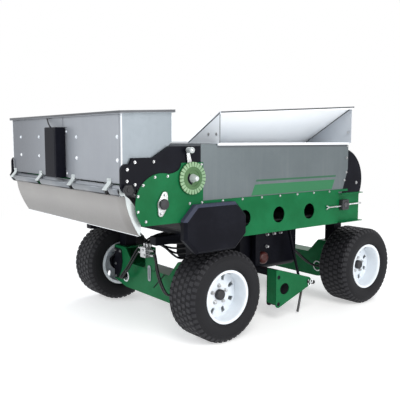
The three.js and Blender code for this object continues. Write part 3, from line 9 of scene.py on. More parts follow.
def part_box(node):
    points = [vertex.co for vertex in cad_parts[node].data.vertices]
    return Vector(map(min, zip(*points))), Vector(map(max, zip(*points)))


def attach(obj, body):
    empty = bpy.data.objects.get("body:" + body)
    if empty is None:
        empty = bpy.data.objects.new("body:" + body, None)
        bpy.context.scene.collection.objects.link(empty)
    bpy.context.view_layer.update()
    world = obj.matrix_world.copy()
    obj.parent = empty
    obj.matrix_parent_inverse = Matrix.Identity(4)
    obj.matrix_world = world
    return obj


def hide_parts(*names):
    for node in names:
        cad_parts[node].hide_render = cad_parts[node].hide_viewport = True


# Lawn topdresser. +X forward, +Y left, +Z up. Lengths in the settings of a piece are in millimetres,
# measured from the point on the ground under the middle of the rear axle. The camera, the lamps and the
# areas of a tone are in metres.

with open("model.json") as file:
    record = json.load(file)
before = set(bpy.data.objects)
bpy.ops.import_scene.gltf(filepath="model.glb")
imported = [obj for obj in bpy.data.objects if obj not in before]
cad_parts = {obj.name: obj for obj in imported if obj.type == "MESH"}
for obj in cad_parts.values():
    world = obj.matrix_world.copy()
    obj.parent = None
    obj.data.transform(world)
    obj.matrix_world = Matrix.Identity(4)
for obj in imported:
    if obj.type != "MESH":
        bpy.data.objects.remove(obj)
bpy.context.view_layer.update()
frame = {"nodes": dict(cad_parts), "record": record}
axleLow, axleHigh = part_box("rear_axle")
origin = Vector(((axleLow[0] + axleHigh[0]) / 2, (axleLow[1] + axleHigh[1]) / 2, 0))
mm = 0.001


def at(x, y, z):
    return Vector((x * mm, y * mm, z * mm)) + origin


# Camera

camera = {
    "place": (-2.7075, -3.34735, 1.2528),
    "lens": 51.6,
    "heading": 51.6,
    "down": 6.1,
    "roll": 0.11,
}

cameraData = bpy.data.cameras.new("camera")
cameraData.lens = camera["lens"]
cameraData.sensor_width = 36
cameraData.clip_end = 100
cameraObject = bpy.data.objects.new("camera", cameraData)
bpy.context.collection.objects.link(cameraObject)
cameraObject.matrix_world = (
    Matrix.Translation(camera["place"])
    @ Matrix.Rotation(math.radians(camera["heading"] - 90), 4, "Z")
    @ Matrix.Rotation(math.radians(90 - camera["down"]), 4, "X")
    @ Matrix.Rotation(math.radians(camera["roll"]), 4, "Z")
)
bpy.context.scene.camera = cameraObject
print("camera set")


# Shader helpers


class Value:
    def __init__(self, graph, socket):
        self.graph = graph
        self.socket = socket

    def maths(self, operation, other=None, swapped=False):
        inputs = [self, other] if other is not None else [self]
        if swapped:
            inputs.reverse()
        return self.graph.node("ShaderNodeMath", {"operation": operation}, dict(enumerate(inputs)))

    def __add__(self, other):
        return self.maths("ADD", other)

    def __radd__(self, other):
        return self.maths("ADD", other, True)

    def __sub__(self, other):
        return self.maths("SUBTRACT", other)

    def __rsub__(self, other):
        return self.maths("SUBTRACT", other, True)

    def __mul__(self, other):
        return self.maths("MULTIPLY", other)

    def __rmul__(self, other):
        return self.maths("MULTIPLY", other, True)

    def __gt__(self, other):
        return self.maths("GREATER_THAN", other)

    def __lt__(self, other):
        return self.maths("LESS_THAN", other)

    def clamp(self):
        return self.graph.node("ShaderNodeClamp", {}, {"Value": self})

    def fade(self, start, end):
        sockets = {"Value": self, "From Min": start, "From Max": end}
        return self.graph.node("ShaderNodeMapRange", {"interpolation_type": "SMOOTHSTEP"}, sockets)


class Graph:
    def __init__(self, name):
        self.material = bpy.data.materials.new(name)
        self.material.use_nodes = True
        self.tree = self.material.node_tree
        self.tree.nodes.clear()
        self.shader = self.tree.nodes.new("ShaderNodeBsdfPrincipled")
        out = self.tree.nodes.new("ShaderNodeOutputMaterial")
        self.tree.links.new(self.shader.outputs["BSDF"], out.inputs["Surface"])

    def plug(self, socket, value):
        if isinstance(value, Value):
            self.tree.links.new(value.socket, socket)
        elif isinstance(value, tuple) and len(value) == 3 and socket.type == "RGBA":
            socket.default_value = (*value, 1)
        else:
            socket.default_value = value

    def node(self, kind, settings, sockets, output=0):
        made = self.tree.nodes.new(kind)
        for name, value in settings.items():
            setattr(made, name, value)
        for name, value in sockets.items():
            self.plug(made.inputs[name], value)
        return Value(self, made.outputs[output])

    def coordinates(self):
        return self.node("ShaderNodeTexCoord", {}, {}, "Object")

    def axes(self, vector):
        made = self.tree.nodes.new("ShaderNodeSeparateXYZ")
        self.plug(made.inputs[0], vector)
        return [Value(self, made.outputs[i]) for i in range(3)]

    def stretched(self, vector, scale):
        settings = {"operation": "MULTIPLY"}
        return self.node("ShaderNodeVectorMath", settings, {0: vector, 1: scale})

    def noise(self, vector, scale, detail=3.0, roughness=0.5):
        sockets = {"Vector": vector, "Scale": scale, "Detail": detail, "Roughness": roughness}
        return self.node("ShaderNodeTexNoise", {"noise_dimensions": "3D"}, sockets)

    def mix(self, factor, first, second):
        settings = {"data_type": "RGBA", "blend_type": "MIX"}
        return self.node("ShaderNodeMix", settings, {0: factor, 6: first, 7: second}, 2)

    def bump(self, height, strength, distance):
        sockets = {"Strength": strength, "Distance": distance, "Height": height}
        return self.node("ShaderNodeBump", {}, sockets)

    def finish(self, **values):
        for name, value in values.items():
            self.plug(self.shader.inputs[name.replace("_", " ")], value)
        return self.material


# Painted sheet metal: a slightly uneven coat, with dust low down and in soft patches. The bevelled edge
# of the chain guard has a painted highlight.

paints = {
    "green_paint": {
        "colour": (0.003, 0.102, 0.032), "lighter": (0.005, 0.13, 0.044),
        "roughness": 0.34, "coat": 0.0, "dust": 0.012, "specular": 0.1,
    },
    "dark_green_paint": {
        "colour": (0.006, 0.06, 0.026), "lighter": (0.01, 0.085, 0.038),
        "roughness": 0.4, "coat": 0.05, "dust": 0.08, "specular": 0.26,
    },
    "black_paint": {
        "colour": (0.0035, 0.0038, 0.007), "lighter": (0.0062, 0.0068, 0.0115),
        "roughness": 0.42, "coat": 0.0, "dust": 0.01, "specular": 0.07,
    },
    "white_paint": {
        "colour": (0.72, 0.77, 0.82), "lighter": (0.8, 0.84, 0.88),
        "roughness": 0.32, "coat": 0.3, "dust": 0.05, "specular": 0.5,
    },
    "dial_paint": {
        "colour": (0.045, 0.115, 0.04), "lighter": (0.07, 0.155, 0.055),
        "roughness": 0.42, "coat": 0.1, "dust": 0.03, "specular": 0.3,
    },
    "dial_teeth": {
        "colour": (0.2, 0.33, 0.19), "lighter": (0.27, 0.41, 0.24),
        "roughness": 0.42, "coat": 0.1, "dust": 0.03, "specular": 0.3,
    },
    "filter_paint": {
        "colour": (0.06, 0.012, 0.012), "lighter": (0.085, 0.018, 0.016),
        "roughness": 0.35, "coat": 0.1, "dust": 0.05, "specular": 0.25,
    },
}
paints["guard_paint"] = paints["black_paint"]
paintDust = {"colour": (0.3, 0.275, 0.235), "top": 0.75, "least": 0.3, "share": 3.0, "dulls": 0.4}
paintGrain = {"patches": 5.0, "speckle": 60.0, "fine": 240.0, "bump": 0.05, "depth": 0.0006}
guardBevelHighlight = {"face": -0.8259, "foot": 0.79, "front": 0.0, "colour": (0.046, 0.052, 0.082)}


def painted(name, look):
    graph = Graph(name)
    place = graph.coordinates()
    x, y, z = graph.axes(place)
    patches = graph.noise(place, paintGrain["patches"], 5.0, 0.6)
    fine = graph.noise(place, paintGrain["fine"], 2.0)
    tone = graph.mix(patches.fade(0.35, 0.7), look["colour"], look["lighter"])
    # Painted highlight: the chain guard's bevelled edge is drawn lighter, as if it caught the light
    if name == "guard_paint":
        bevel = (y > origin.y + guardBevelHighlight["face"]) * (z > guardBevelHighlight["foot"])
        bevel = bevel * (x < origin.x + guardBevelHighlight["front"])
        tone = graph.mix(bevel, tone, guardBevelHighlight["colour"])
    low = z.fade(paintDust["top"], 0.0) * (1 - paintDust["least"]) + paintDust["least"]
    speckle = graph.noise(place, paintGrain["speckle"], 6.0, 0.7).fade(0.42, 0.75)
    dust = (low * speckle * patches.fade(0.3, 0.65) * look["dust"] * paintDust["share"]).clamp()
    colour = graph.mix(dust, tone, paintDust["colour"])
    roughness = (patches * 0.12 + dust * paintDust["dulls"] + (look["roughness"] - 0.06)).clamp()
    return graph.finish(
        Base_Color=colour,
        Roughness=roughness,
        Coat_Weight=(look["coat"] - dust * 0.5).clamp(),
        Specular_IOR_Level=look["specular"],
        Normal=graph.bump(fine, paintGrain["bump"], paintGrain["depth"]),
    )


# Galvanised sheet: crystals of zinc that differ in tone and gloss, with faint upright streaks

zincs = {
    "galvanised": {"colour": (0.265, 0.282, 0.31), "lighter": (0.307, 0.326, 0.356), "metallic": 0.4},
    # The dark zinc below is the galvanised sheet of the hopper sides, darkened in painted shade
    "side_zinc": {"colour": (0.1, 0.121, 0.13), "lighter": (0.121, 0.144, 0.154), "metallic": 0.4},
    # The near-white zinc below is the galvanised sheet with painted reflected light of the bright ground and
    # sky
    "pale_galvanised": {"colour": (0.84, 0.87, 0.9), "lighter": (0.89, 0.91, 0.93), "metallic": 0.05},
    "pan_zinc": {"colour": (0.27, 0.262, 0.255), "lighter": (0.31, 0.3, 0.29), "metallic": 0.4},
    # The lighter zinc below is partly painted highlight: on the strap leaves it stands for faces lit from
    # above
    "end_zinc": {"colour": (0.5, 0.54, 0.545), "lighter": (0.56, 0.6, 0.6), "metallic": 0.25},
    # The darkest zinc below is for strips of painted shade under the folded lips and along the flares' ends
    "edge_zinc": {"colour": (0.05, 0.053, 0.06), "lighter": (0.085, 0.09, 0.1), "metallic": 0.2},
}
zincGrain = {"crystals": 70.0, "streaks": (38.0, 38.0, 1.6), "clouds": 2.6, "gloss": 0.34}
grime = {"colour": (0.2, 0.19, 0.17), "share": 0.09, "clear": 1.3, "full": 0.9}

# Painted shade on single areas: the ends of the flares, the hood's walls, the pan lower down and at the
# crease under its darker rolled edge, and under the flare; and the plain slanting bands on the right side

gusset = {
    "rear": -0.1135, "front": 1.0975, "foot": 1.16,
    "rearShade": (0.74, 0.78, 0.82), "frontShade": (0.46, 0.49, 0.53),
}
hoodShade = {
    "wall": -0.735, "left": 0.75, "right": -0.3, "side": -0.7,
    "rear": (0.13, 0.14, 0.158), "end": (0.205, 0.235, 0.26),
}
roll = {
    "foot": 0.951, "line": 0.009, "colour": (0.2, 0.215, 0.235), "underShadeColour": (0.025, 0.025, 0.03),
    "shadeTop": 0.9, "shadeFoot": 0.76, "shade": (0.2, 0.193, 0.187),
}
eave = {"face": -0.777, "low": 1.2, "high": 1.2135, "colour": (0.09, 0.1, 0.11)}
sideBand = {
    "face": -0.77, "low": 0.905, "high": 0.972, "rear": 0.16, "front": 0.93, "slant": 0.45,
    "lineGap": 0.018, "line": 0.012,
}


def zinc(name, look):
    graph = Graph(name)
    place = graph.coordinates()
    x, y, z = graph.axes(place)
    sockets = {"Vector": place, "Scale": zincGrain["crystals"]}
    cells = graph.node("ShaderNodeTexVoronoi", {"feature": "F1"}, sockets, "Color")
    crystal = graph.axes(cells)[0]
    streaks = graph.noise(graph.stretched(place, zincGrain["streaks"]), 1.0, 5.0, 0.55)
    clouds = graph.noise(place, zincGrain["clouds"], 4.0, 0.55)
    share = (crystal * 0.07 + streaks * 0.25 + clouds * 0.68).fade(0.28, 0.72)
    tone = graph.mix(share, look["colour"], look["lighter"])
    dirt = (streaks.fade(0.52, 0.75) * z.fade(grime["clear"], grime["full"]) * grime["share"]).clamp()
    tone = graph.mix(dirt, tone, grime["colour"])
    gloss = crystal * 0.05 + streaks * 0.1 + zincGrain["gloss"]
    metallic = look["metallic"] - dirt
    # Painted shade: the ends of the flare are darker than its near-white sheet, the front end darkest
    if name == "pale_galvanised":
        above = z > gusset["foot"]
        tone = graph.mix((x < origin.x + gusset["rear"]) * above, tone, gusset["rearShade"])
        tone = graph.mix((x > origin.x + gusset["front"]) * above, tone, gusset["frontShade"])
    # Painted shade on the pan: darker lower down, with a near-black line at the crease under the rolled edge,
    # which itself has a darker tone
    if name == "pan_zinc":
        tone = graph.mix(z.fade(roll["shadeTop"], roll["shadeFoot"]), tone, roll["shade"])
        above = z > roll["foot"]
        tone = graph.mix(above, tone, roll["colour"])
        tone = graph.mix(above * (z < roll["foot"] + roll["line"]), tone, roll["underShadeColour"])
    # Painted shade on the hood: the rear wall darkens towards the left, the right wall has its own darker
    # tone
    if name == "galvanised":
        rear = x < origin.x + hoodShade["wall"]
        rearWallShade = rear * y.fade(origin.y + hoodShade["right"], origin.y + hoodShade["left"])
        tone = graph.mix(rearWallShade, tone, hoodShade["rear"])
        end = (x > origin.x + hoodShade["wall"]) * (x < origin.x + gusset["rear"])
        end = end * (y < origin.y + hoodShade["side"])
        tone = graph.mix(end, tone, hoodShade["end"])
    if name == "side_zinc":
        along = x - (z - sideBand["low"]) * sideBand["slant"] - origin.x
        outside = y < origin.y + sideBand["face"]
        ends = (along > sideBand["rear"]) * (along < sideBand["front"])
        broad = (z > sideBand["low"]) * (z < sideBand["high"])
        lineFoot = sideBand["high"] + sideBand["lineGap"]
        line = (z > lineFoot) * (z < lineFoot + sideBand["line"])
        onSide = outside * ends
        tone = graph.mix(onSide * broad, tone, paints["green_paint"]["lighter"])
        tone = graph.mix(onSide * line, tone, paints["dark_green_paint"]["lighter"])
        shaded = outside * (x > origin.x + gusset["rear"]) * (z > eave["low"]) * (z < eave["high"])
        tone = graph.mix(shaded * (y > origin.y + eave["face"]), tone, eave["colour"])
        inked = (onSide * (broad + line)).clamp()
        metallic = (metallic - inked).clamp()
    return graph.finish(
        Base_Color=tone,
        Roughness=gloss,
        Metallic=metallic,
        Normal=graph.bump(clouds + streaks * 0.1, 0.05, 0.003),
    )


# Bare and cast metal

metals = {
    "bare_metal": {
        "colour": (0.55, 0.56, 0.57), "dark": (0.34, 0.34, 0.34),
        "metallic": 0.9, "roughness": 0.27, "grain": 270.0,
    },
    "dark_metal": {
        "colour": (0.085, 0.085, 0.092), "dark": (0.05, 0.042, 0.036),
        "metallic": 0.7, "roughness": 0.45, "grain": 180.0,
    },
    "cast_metal": {
        "colour": (0.022, 0.023, 0.027), "dark": (0.013, 0.013, 0.015),
        "metallic": 0.15, "roughness": 0.5, "grain": 390.0,
    },
}


def metal(name, look):
    graph = Graph(name)
    place = graph.coordinates()
    wear = graph.noise(place, 14.0, 5.0, 0.6)
    grain = graph.noise(place, look["grain"], 3.0)
    tone = graph.mix(wear.fade(0.4, 0.7), look["colour"], look["dark"])
    return graph.finish(
        Base_Color=tone,
        Metallic=look["metallic"],
        Roughness=(wear * 0.2 + grain * 0.12 + (look["roughness"] - 0.14)).clamp(),
        Normal=graph.bump(grain, 0.12, 0.0008),
    )


# Rubber and plastic

rubbers = {
    "tyre": {"colour": (0.0085, 0.0085, 0.0105), "dust": 0.03, "roughness": 0.6, "specular": 0.2},
    "tread": {"colour": (0.0165, 0.0165, 0.02), "dust": 0.08, "roughness": 0.6, "specular": 0.3},
    "belt_rubber": {"colour": (0.017, 0.017, 0.018), "dust": 0.3, "roughness": 0.7, "specular": 0.3},
    "black_plastic": {"colour": (0.008, 0.008, 0.01), "dust": 0.02, "roughness": 0.36, "specular": 0.3},
}
rubberDust = (0.2, 0.19, 0.175)


def rubber(name, look):
    graph = Graph(name)
    place = graph.coordinates()
    patches = graph.noise(place, 7.0, 5.0, 0.6)
    speckle = graph.noise(place, 90.0, 5.0, 0.7)
    dust = (patches.fade(0.35, 0.75) * speckle.fade(0.35, 0.8) * look["dust"]).clamp()
    tone = graph.mix(dust, look["colour"], rubberDust)
    return graph.finish(
        Base_Color=tone,
        Roughness=(patches * 0.1 + dust * 0.3 + look["roughness"]).clamp(),
        Specular_IOR_Level=look["specular"],
        Normal=graph.bump(speckle, 0.18, 0.0012),
    )


materials = {}
for name, look in paints.items():
    materials[name] = painted(name, look)
for name, look in zincs.items():
    materials[name] = zinc(name, look)
for name, look in metals.items():
    materials[name] = metal(name, look)
for name, look in rubbers.items():
    materials[name] = rubber(name, look)
print("materials made")


# Shape helpers


def arc(x, z, radius, start, end, steps):
    turn = [math.radians(start + (end - start) * i / steps) for i in range(steps + 1)]
    return [(x + radius * math.cos(a), z + radius * math.sin(a)) for a in turn]


def circle(x, z, radius, steps=32):
    return arc(x, z, radius, 0, 360, steps)[:-1]


def rounded(points, radius, steps=3, closed=True):
    count = len(points)
    made = []
    for i, point in enumerate(points):
        here = Vector(point)
        if not closed and i in (0, count - 1):
            made.append(tuple(here))
            continue
        back = Vector(points[i - 1]) - here
        ahead = Vector(points[(i + 1) % count]) - here
        reach = min(radius, back.length * 0.45, ahead.length * 0.45)
        start = here + back.normalized() * reach
        end = here + ahead.normalized() * reach
        for j in range(steps + 1):
            t = j / steps
            made.append(tuple(start * (1 - t) ** 2 + here * 2 * t * (1 - t) + end * t ** 2))
    return made


def smoothRun(points, steps):
    made = []
    count = len(points)
    for i in range(count - 1):
        p = [Vector(points[max(0, min(count - 1, i + k))]) for k in (-1, 0, 1, 2)]
        for j in range(steps):
            t = j / steps
            made.append(tuple(
                0.5 * (2 * p[1] + (p[2] - p[0]) * t + (2 * p[0] - 5 * p[1] + 4 * p[2] - p[3]) * t ** 2
                       + (3 * p[1] - p[0] - 3 * p[2] + p[3]) * t ** 3)))
    made.append(tuple(points[-1]))
    return made


def soften(bm, width, segments=2, angle=32):
    if width <= 0:
        return
    limit = math.radians(angle)
    edges = [e for e in bm.edges if len(e.link_faces) == 2 and e.calc_face_angle(0) > limit]
    bmesh.ops.bevel(
        bm, geom=edges, offset=width * mm, segments=segments, affect="EDGES", profile=0.5,
        material=-1, clamp_overlap=True)


fixing = {"washerHeight": 2, "washerRatio": 1.45, "edgeRatio": 0.14}


class Form:
    def __init__(self):
        self.bm = bmesh.new()

    def take(self, bm, matrix=None):
        bmesh.ops.recalc_face_normals(bm, faces=bm.faces)
        mesh = bpy.data.meshes.new("part")
        bm.to_mesh(mesh)
        bm.free()
        if matrix is not None:
            mesh.transform(matrix)
        self.bm.from_mesh(mesh)
        bpy.data.meshes.remove(mesh)

    def box(self, x, y, z, edge=1.0):
        bm = bmesh.new()
        size = [(high - low) * mm for low, high in (x, y, z)]
        middle = at(*[(low + high) / 2 for low, high in (x, y, z)])
        bmesh.ops.create_cube(bm, size=1)
        bmesh.ops.scale(bm, vec=size, verts=bm.verts)
        bmesh.ops.translate(bm, vec=middle, verts=bm.verts)
        soften(bm, edge)
        self.take(bm)

    def bar(self, start, end, radius, steps=24, edge=0.8, endRadius=None):
        bm = bmesh.new()
        a, b = at(*start), at(*end)
        far = radius if endRadius is None else endRadius
        bmesh.ops.create_cone(
            bm, cap_ends=True, cap_tris=False, segments=steps, radius1=radius * mm,
            radius2=far * mm, depth=(b - a).length)
        soften(bm, edge, 2, 50)
        turn = (b - a).to_track_quat("Z", "Y").to_matrix().to_4x4()
        bmesh.ops.transform(bm, matrix=Matrix.Translation((a + b) / 2) @ turn, verts=bm.verts)
        self.take(bm)

    def barY(self, x, z, radius, y, steps=32, edge=0.8):
        self.bar((x, y[0], z), (x, y[1], z), radius, steps, edge)

    def barX(self, y, z, radius, x, steps=32, edge=0.8):
        self.bar((x[0], y, z), (x[1], y, z), radius, steps, edge)

    def plate(self, points, span, holes=(), axis="Y", edge=0.8, segments=2):
        bm = bmesh.new()
        place = {
            "X": lambda a, b, c: at(c, a, b),
            "Y": lambda a, b, c: at(a, c, b),
            "Z": lambda a, b, c: at(a, b, c),
        }[axis]
        for loop in [points, *holes]:
            corners = [bm.verts.new(place(a, b, span[0])) for a, b in loop]
            for i, corner in enumerate(corners):
                bm.edges.new((corners[i - 1], corner))
        bmesh.ops.triangle_fill(bm, use_beauty=True, use_dissolve=False, edges=bm.edges)
        bmesh.ops.dissolve_limit(
            bm, angle_limit=0.005, use_dissolve_boundaries=False, verts=bm.verts, edges=bm.edges)
        made = bmesh.ops.extrude_face_region(bm, geom=bm.faces[:])
        moved = [v for v in made["geom"] if isinstance(v, bmesh.types.BMVert)]
        bmesh.ops.translate(bm, vec=place(0, 0, span[1]) - place(0, 0, span[0]), verts=moved)
        bmesh.ops.recalc_face_normals(bm, faces=bm.faces)
        soften(bm, edge, segments, 40)
        self.take(bm)

    def lathe(self, centre, profile, axis="Y", steps=64, closed=False, side=1):
        bm = bmesh.new()
        middle = at(*centre)
        out = Vector((1, 0, 0)) if axis == "Y" else Vector((0, 0, 1))
        along = Vector((0, side, 0)) if axis == "Y" else Vector((side, 0, 0))
        corners = [bm.verts.new(middle + (out * r + along * a) * mm) for r, a in profile]
        edges = [bm.edges.new(pair) for pair in zip(corners, corners[1:])]
        if closed:
            edges.append(bm.edges.new((corners[-1], corners[0])))
        bmesh.ops.spin(
            bm, geom=corners + edges, cent=middle, axis=along, dvec=(0, 0, 0),
            angle=2 * math.pi, steps=steps, use_merge=True, use_duplicate=False)
        bmesh.ops.remove_doubles(bm, verts=bm.verts, dist=1e-6)
        self.take(bm)

    def tube(self, path, radius, steps=12):
        bm = bmesh.new()
        run = [at(*p) for p in path]
        rings = []
        side = None
        for i, point in enumerate(run):
            along = (run[min(i + 1, len(run) - 1)] - run[max(i - 1, 0)]).normalized()
            if side is None:
                side = along.orthogonal().normalized()
            side = (side - along * side.dot(along)).normalized()
            other = along.cross(side)
            turns = [2 * math.pi * k / steps for k in range(steps)]
            around = [(side * math.cos(t) + other * math.sin(t)) * radius * mm for t in turns]
            rings.append([bm.verts.new(point + out) for out in around])
        for near, far in zip(rings, rings[1:]):
            for k in range(steps):
                bm.faces.new((near[k - 1], near[k], far[k], far[k - 1]))
        bm.faces.new(rings[0])
        bm.faces.new(rings[-1])
        self.take(bm)

    def bolt(self, place, facing, radius=9, height=6, washer=True):
        start, facing = Vector(place), Vector(facing)
        if washer:
            foot = start
            start = foot + facing * fixing["washerHeight"]
            self.bar(foot, start, radius * fixing["washerRatio"], 14, 0)
        self.bar(start, start + facing * height, radius, 6, radius * fixing["edgeRatio"])

    def repeat(self, other, matrices):
        mesh = bpy.data.meshes.new("part")
        other.bm.to_mesh(mesh)
        for matrix in matrices:
            copy = mesh.copy()
            copy.transform(matrix)
            self.bm.from_mesh(copy)
            bpy.data.meshes.remove(copy)
        bpy.data.meshes.remove(mesh)

    def piece(self, name, body, slot, nodes=(), sharp=38, flat=True, look=None):
        for face in self.bm.faces:
            face.smooth = True
        limit = math.radians(sharp)
        for edge in self.bm.edges:
            if len(edge.link_faces) == 2:
                edge.smooth = edge.calc_face_angle(0) < limit
        mesh = bpy.data.meshes.new(name)
        self.bm.to_mesh(mesh)
        self.bm.free()
        mesh.materials.append(materials[look or slot])
        made = bpy.data.objects.new(name, mesh)
        bpy.context.collection.objects.link(made)
        if flat:
            weights = made.modifiers.new("weights", "WEIGHTED_NORMAL")
            weights.keep_sharp = True
        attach(made, body)
        if nodes:
            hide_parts(*nodes)
        return made


def carve(made, tool):
    cutter = bpy.data.objects.new("cutter", tool)
    bpy.context.collection.objects.link(cutter)
    modifier = made.modifiers.new("cut", "BOOLEAN")
    modifier.object = cutter
    modifier.solver = "EXACT"
    bpy.context.view_layer.update()
    done = bpy.data.meshes.new_from_object(made.evaluated_get(bpy.context.evaluated_depsgraph_get()))
    made.modifiers.remove(modifier)
    made.data = done
    bpy.data.objects.remove(cutter)


sides = {"right": -1, "left": 1}


def off(side, near, far):
    return (-far, -near) if side < 0 else (near, far)


# Wheels

wheels = {
    "wheelbase": 1404, "halfTrack": 631.5, "radius": 288, "slots": 8, "dishFace": 29,
    "nuts": 5, "nutCircle": 56, "nutRadius": 9.6, "nutHeight": 15, "seatRadius": 14, "seatHeight": 4,
    "stemTurn": 62, "stemRadius": 141, "stemFoot": 14, "stemTip": 60,
    "motorInner": 492.5, "motorOuter": 636.2, "sideRings": ((184, 126.4), (240, 132.4)),
}
tread = {
    "count": 44, "rows": (-84, -42, 0, 42, 84), "length": 27, "width": 33, "foot": 280.5, "top": 287.4,
    "taper": 2.2, "shoulderHalf": 11, "shoulderInner": (105, 277, 282), "shoulderOuter": (124, 257, 264),
}


# A cube with its corners moved, open at the foot, which lies inside the tyre
def spunBlock(form, corner, start):
    block = Form()
    bmesh.ops.create_cube(block.bm, size=2)
    foot = [face for face in block.bm.faces if all(v.co.z < 0 for v in face.verts)]
    for v in block.bm.verts:
        v.co = Vector(corner(*v.co)) * mm
    block.bm.normal_update()
    bmesh.ops.recalc_face_normals(block.bm, faces=block.bm.faces)
    bmesh.ops.delete(block.bm, geom=foot, context="FACES")
    step = 2 * math.pi / tread["count"]
    form.repeat(block, [Matrix.Rotation(step * (i + start), 4, "Y") for i in range(tread["count"])])
    block.bm.free()


def treadCorner(row, a, b, c):
    inset = tread["taper"] if c > 0 else 0
    height = tread["top"] if c > 0 else tread["foot"]
    return a * (tread["length"] / 2 - inset), row + b * (tread["width"] / 2 - inset), height


def shoulderCorner(side, a, b, c):
    y, foot, top = tread["shoulderOuter"] if b > 0 else tread["shoulderInner"]
    return a * tread["shoulderHalf"], side * y, top if c > 0 else foot


treadForm = Form()
for number, row in enumerate(tread["rows"]):
    spunBlock(treadForm, lambda a, b, c: treadCorner(row, a, b, c), 0.5 * (number % 2))
shoulderForm = Form()
for side in sides.values():
    spunBlock(shoulderForm, lambda a, b, c: shoulderCorner(side, a, b, c), 0.25)

tyreHalf = smoothRun([
    (152.4, 111), (161, 112.6), (168, 113), (172, 117.5), (180, 123.5), (196, 130.5), (216, 133.2),
    (234, 132.6), (250, 129), (263, 122), (273, 112), (279, 101), (282, 84), (283, 45), (283.4, 0)], 2)
tyreProfile = tyreHalf + [(r, -y) for r, y in reversed(tyreHalf[:-1])]

rimBand = [
    (147, -119), (160, -119), (167, -118), (167.4, -113.5), (158, -112.5), (153, -108), (152, -96),
    (152, 96), (153, 108), (158, 112.5), (167.4, 113.5), (167, 118), (160, 119), (152, 116.5), (147.5, 108),
    (147, 96), (147, -96), (146.6, -108)]
dish = wheels["dishFace"]
rimDisc = [
    (20, dish), (70, dish), (78, 28), (92, 22), (112, 16.5), (126, 15), (147.5, 15), (147.5, 7), (126, 7),
    (108, 8.5), (90, 14), (76, 20.5), (68, 21), (60, 21), (60, 7), (20, 7)]
hubProfile = rounded([(0, 59), (24, 59), (32, 54), (33.8, 46), (33.8, dish), (0, dish)], 3, 3, False)
slotOutline = rounded([(-11, 91), (11, 91), (15, 134), (-15, 134)], 9, 4)


def slotTools(centre):
    form = Form()
    x, y, z = centre
    for i in range(wheels["slots"]):
        turn = 2 * math.pi * (i + 0.5) / wheels["slots"]
        c, s = math.cos(turn), math.sin(turn)
        spun = [(x + (a * c - b * s), z + (a * s + b * c)) for a, b in slotOutline]
        form.plate(spun, (y - 60, y + 60), edge=0)
    mesh = bpy.data.meshes.new("slots")
    form.bm.to_mesh(mesh)
    form.bm.free()
    return mesh


for end, x in (("rear", 0), ("front", wheels["wheelbase"])):
    for name, side in sides.items():
        label = f"{end}_{name}"
        body = f"{label}_wheel"
        centre = (x, side * wheels["halfTrack"], wheels["radius"])
        spot = Matrix.Translation(at(*centre))
        tyre = Form()
        tyre.lathe(centre, tyreProfile, steps=96, closed=True, side=side)
        for ring, lift in wheels["sideRings"]:
            rib = [(ring - 2.5, lift - 2), (ring - 1, lift), (ring + 1, lift), (ring + 2.5, lift - 2)]
            for face in (-1, 1):
                tyre.lathe(centre, [(r, face * a) for r, a in rib], steps=96, side=side)
        tyre.piece(f"{label}_turf_tyre", body, "tyre", [f"{label}_tyre"], flat=False)
        blocks = Form()
        blocks.repeat(treadForm, [spot])
        blocks.repeat(shoulderForm, [spot])
        blocks.piece(f"{label}_tread", body, "tyre", flat=False, look="tread")

        rim = Form()
        rim.lathe(centre, rimBand, steps=80, closed=True, side=side)
        rim.piece(f"{label}_rim_shell", body, "white_paint", [f"{label}_rim"], flat=False)
        disc = Form()
        disc.lathe(centre, rimDisc, steps=80, closed=True, side=side)
        carve(disc.piece(f"{label}_rim_disc", body, "white_paint", flat=False), slotTools(centre))

        hub = Form()
        hub.lathe(centre, hubProfile, steps=40, side=side)
        hub.piece(f"{label}_hub_cap", body, "cast_metal", flat=False)
        nuts = Form()
        for i in range(wheels["nuts"]):
            turn = 2 * math.pi * i / wheels["nuts"] + math.pi / 2
            a, b = x + wheels["nutCircle"] * math.cos(turn), centre[2] + wheels["nutCircle"] * math.sin(turn)
            foot = centre[1] + side * dish
            seat, nut = foot + side * wheels["seatHeight"], foot + side * wheels["nutHeight"]
            nuts.bar((a, foot, b), (a, seat, b), wheels["seatRadius"], 16, 0.8, 11)
            nuts.bar((a, foot, b), (a, nut, b), wheels["nutRadius"], 6, 1.2)
        turn = math.radians(wheels["stemTurn"])
        a, b = x + wheels["stemRadius"] * math.cos(turn), centre[2] + wheels["stemRadius"] * math.sin(turn)
        stem = [(a, centre[1] + side * lift, b) for lift in (wheels["stemFoot"], wheels["stemTip"])]
        nuts.bar(*stem, 4, 10, 0.6)
        nuts.piece(f"{label}_wheel_nuts", body, "bare_metal", flat=False)

        motor = Form()
        inner, outer, z = wheels["motorInner"], wheels["motorOuter"], wheels["radius"]
        motor.barY(x, z, 65.5, off(side, inner, inner + 22), 40, 2)
        motor.barY(x, z, 56, off(side, inner + 10, outer - 45), 40, 3)
        motor.barY(x, z, 64, off(side, outer - 72, outer - 46), 40, 2)
        motor.barY(x, z, 41.5, off(side, outer - 60, outer), 36, 2)
        motor.piece(f"{label}_motor_case", "base", "black_paint", [f"{label}_wheel_motor"])
treadForm.bm.free()
shoulderForm.bm.free()
print("wheels made")


# Axles

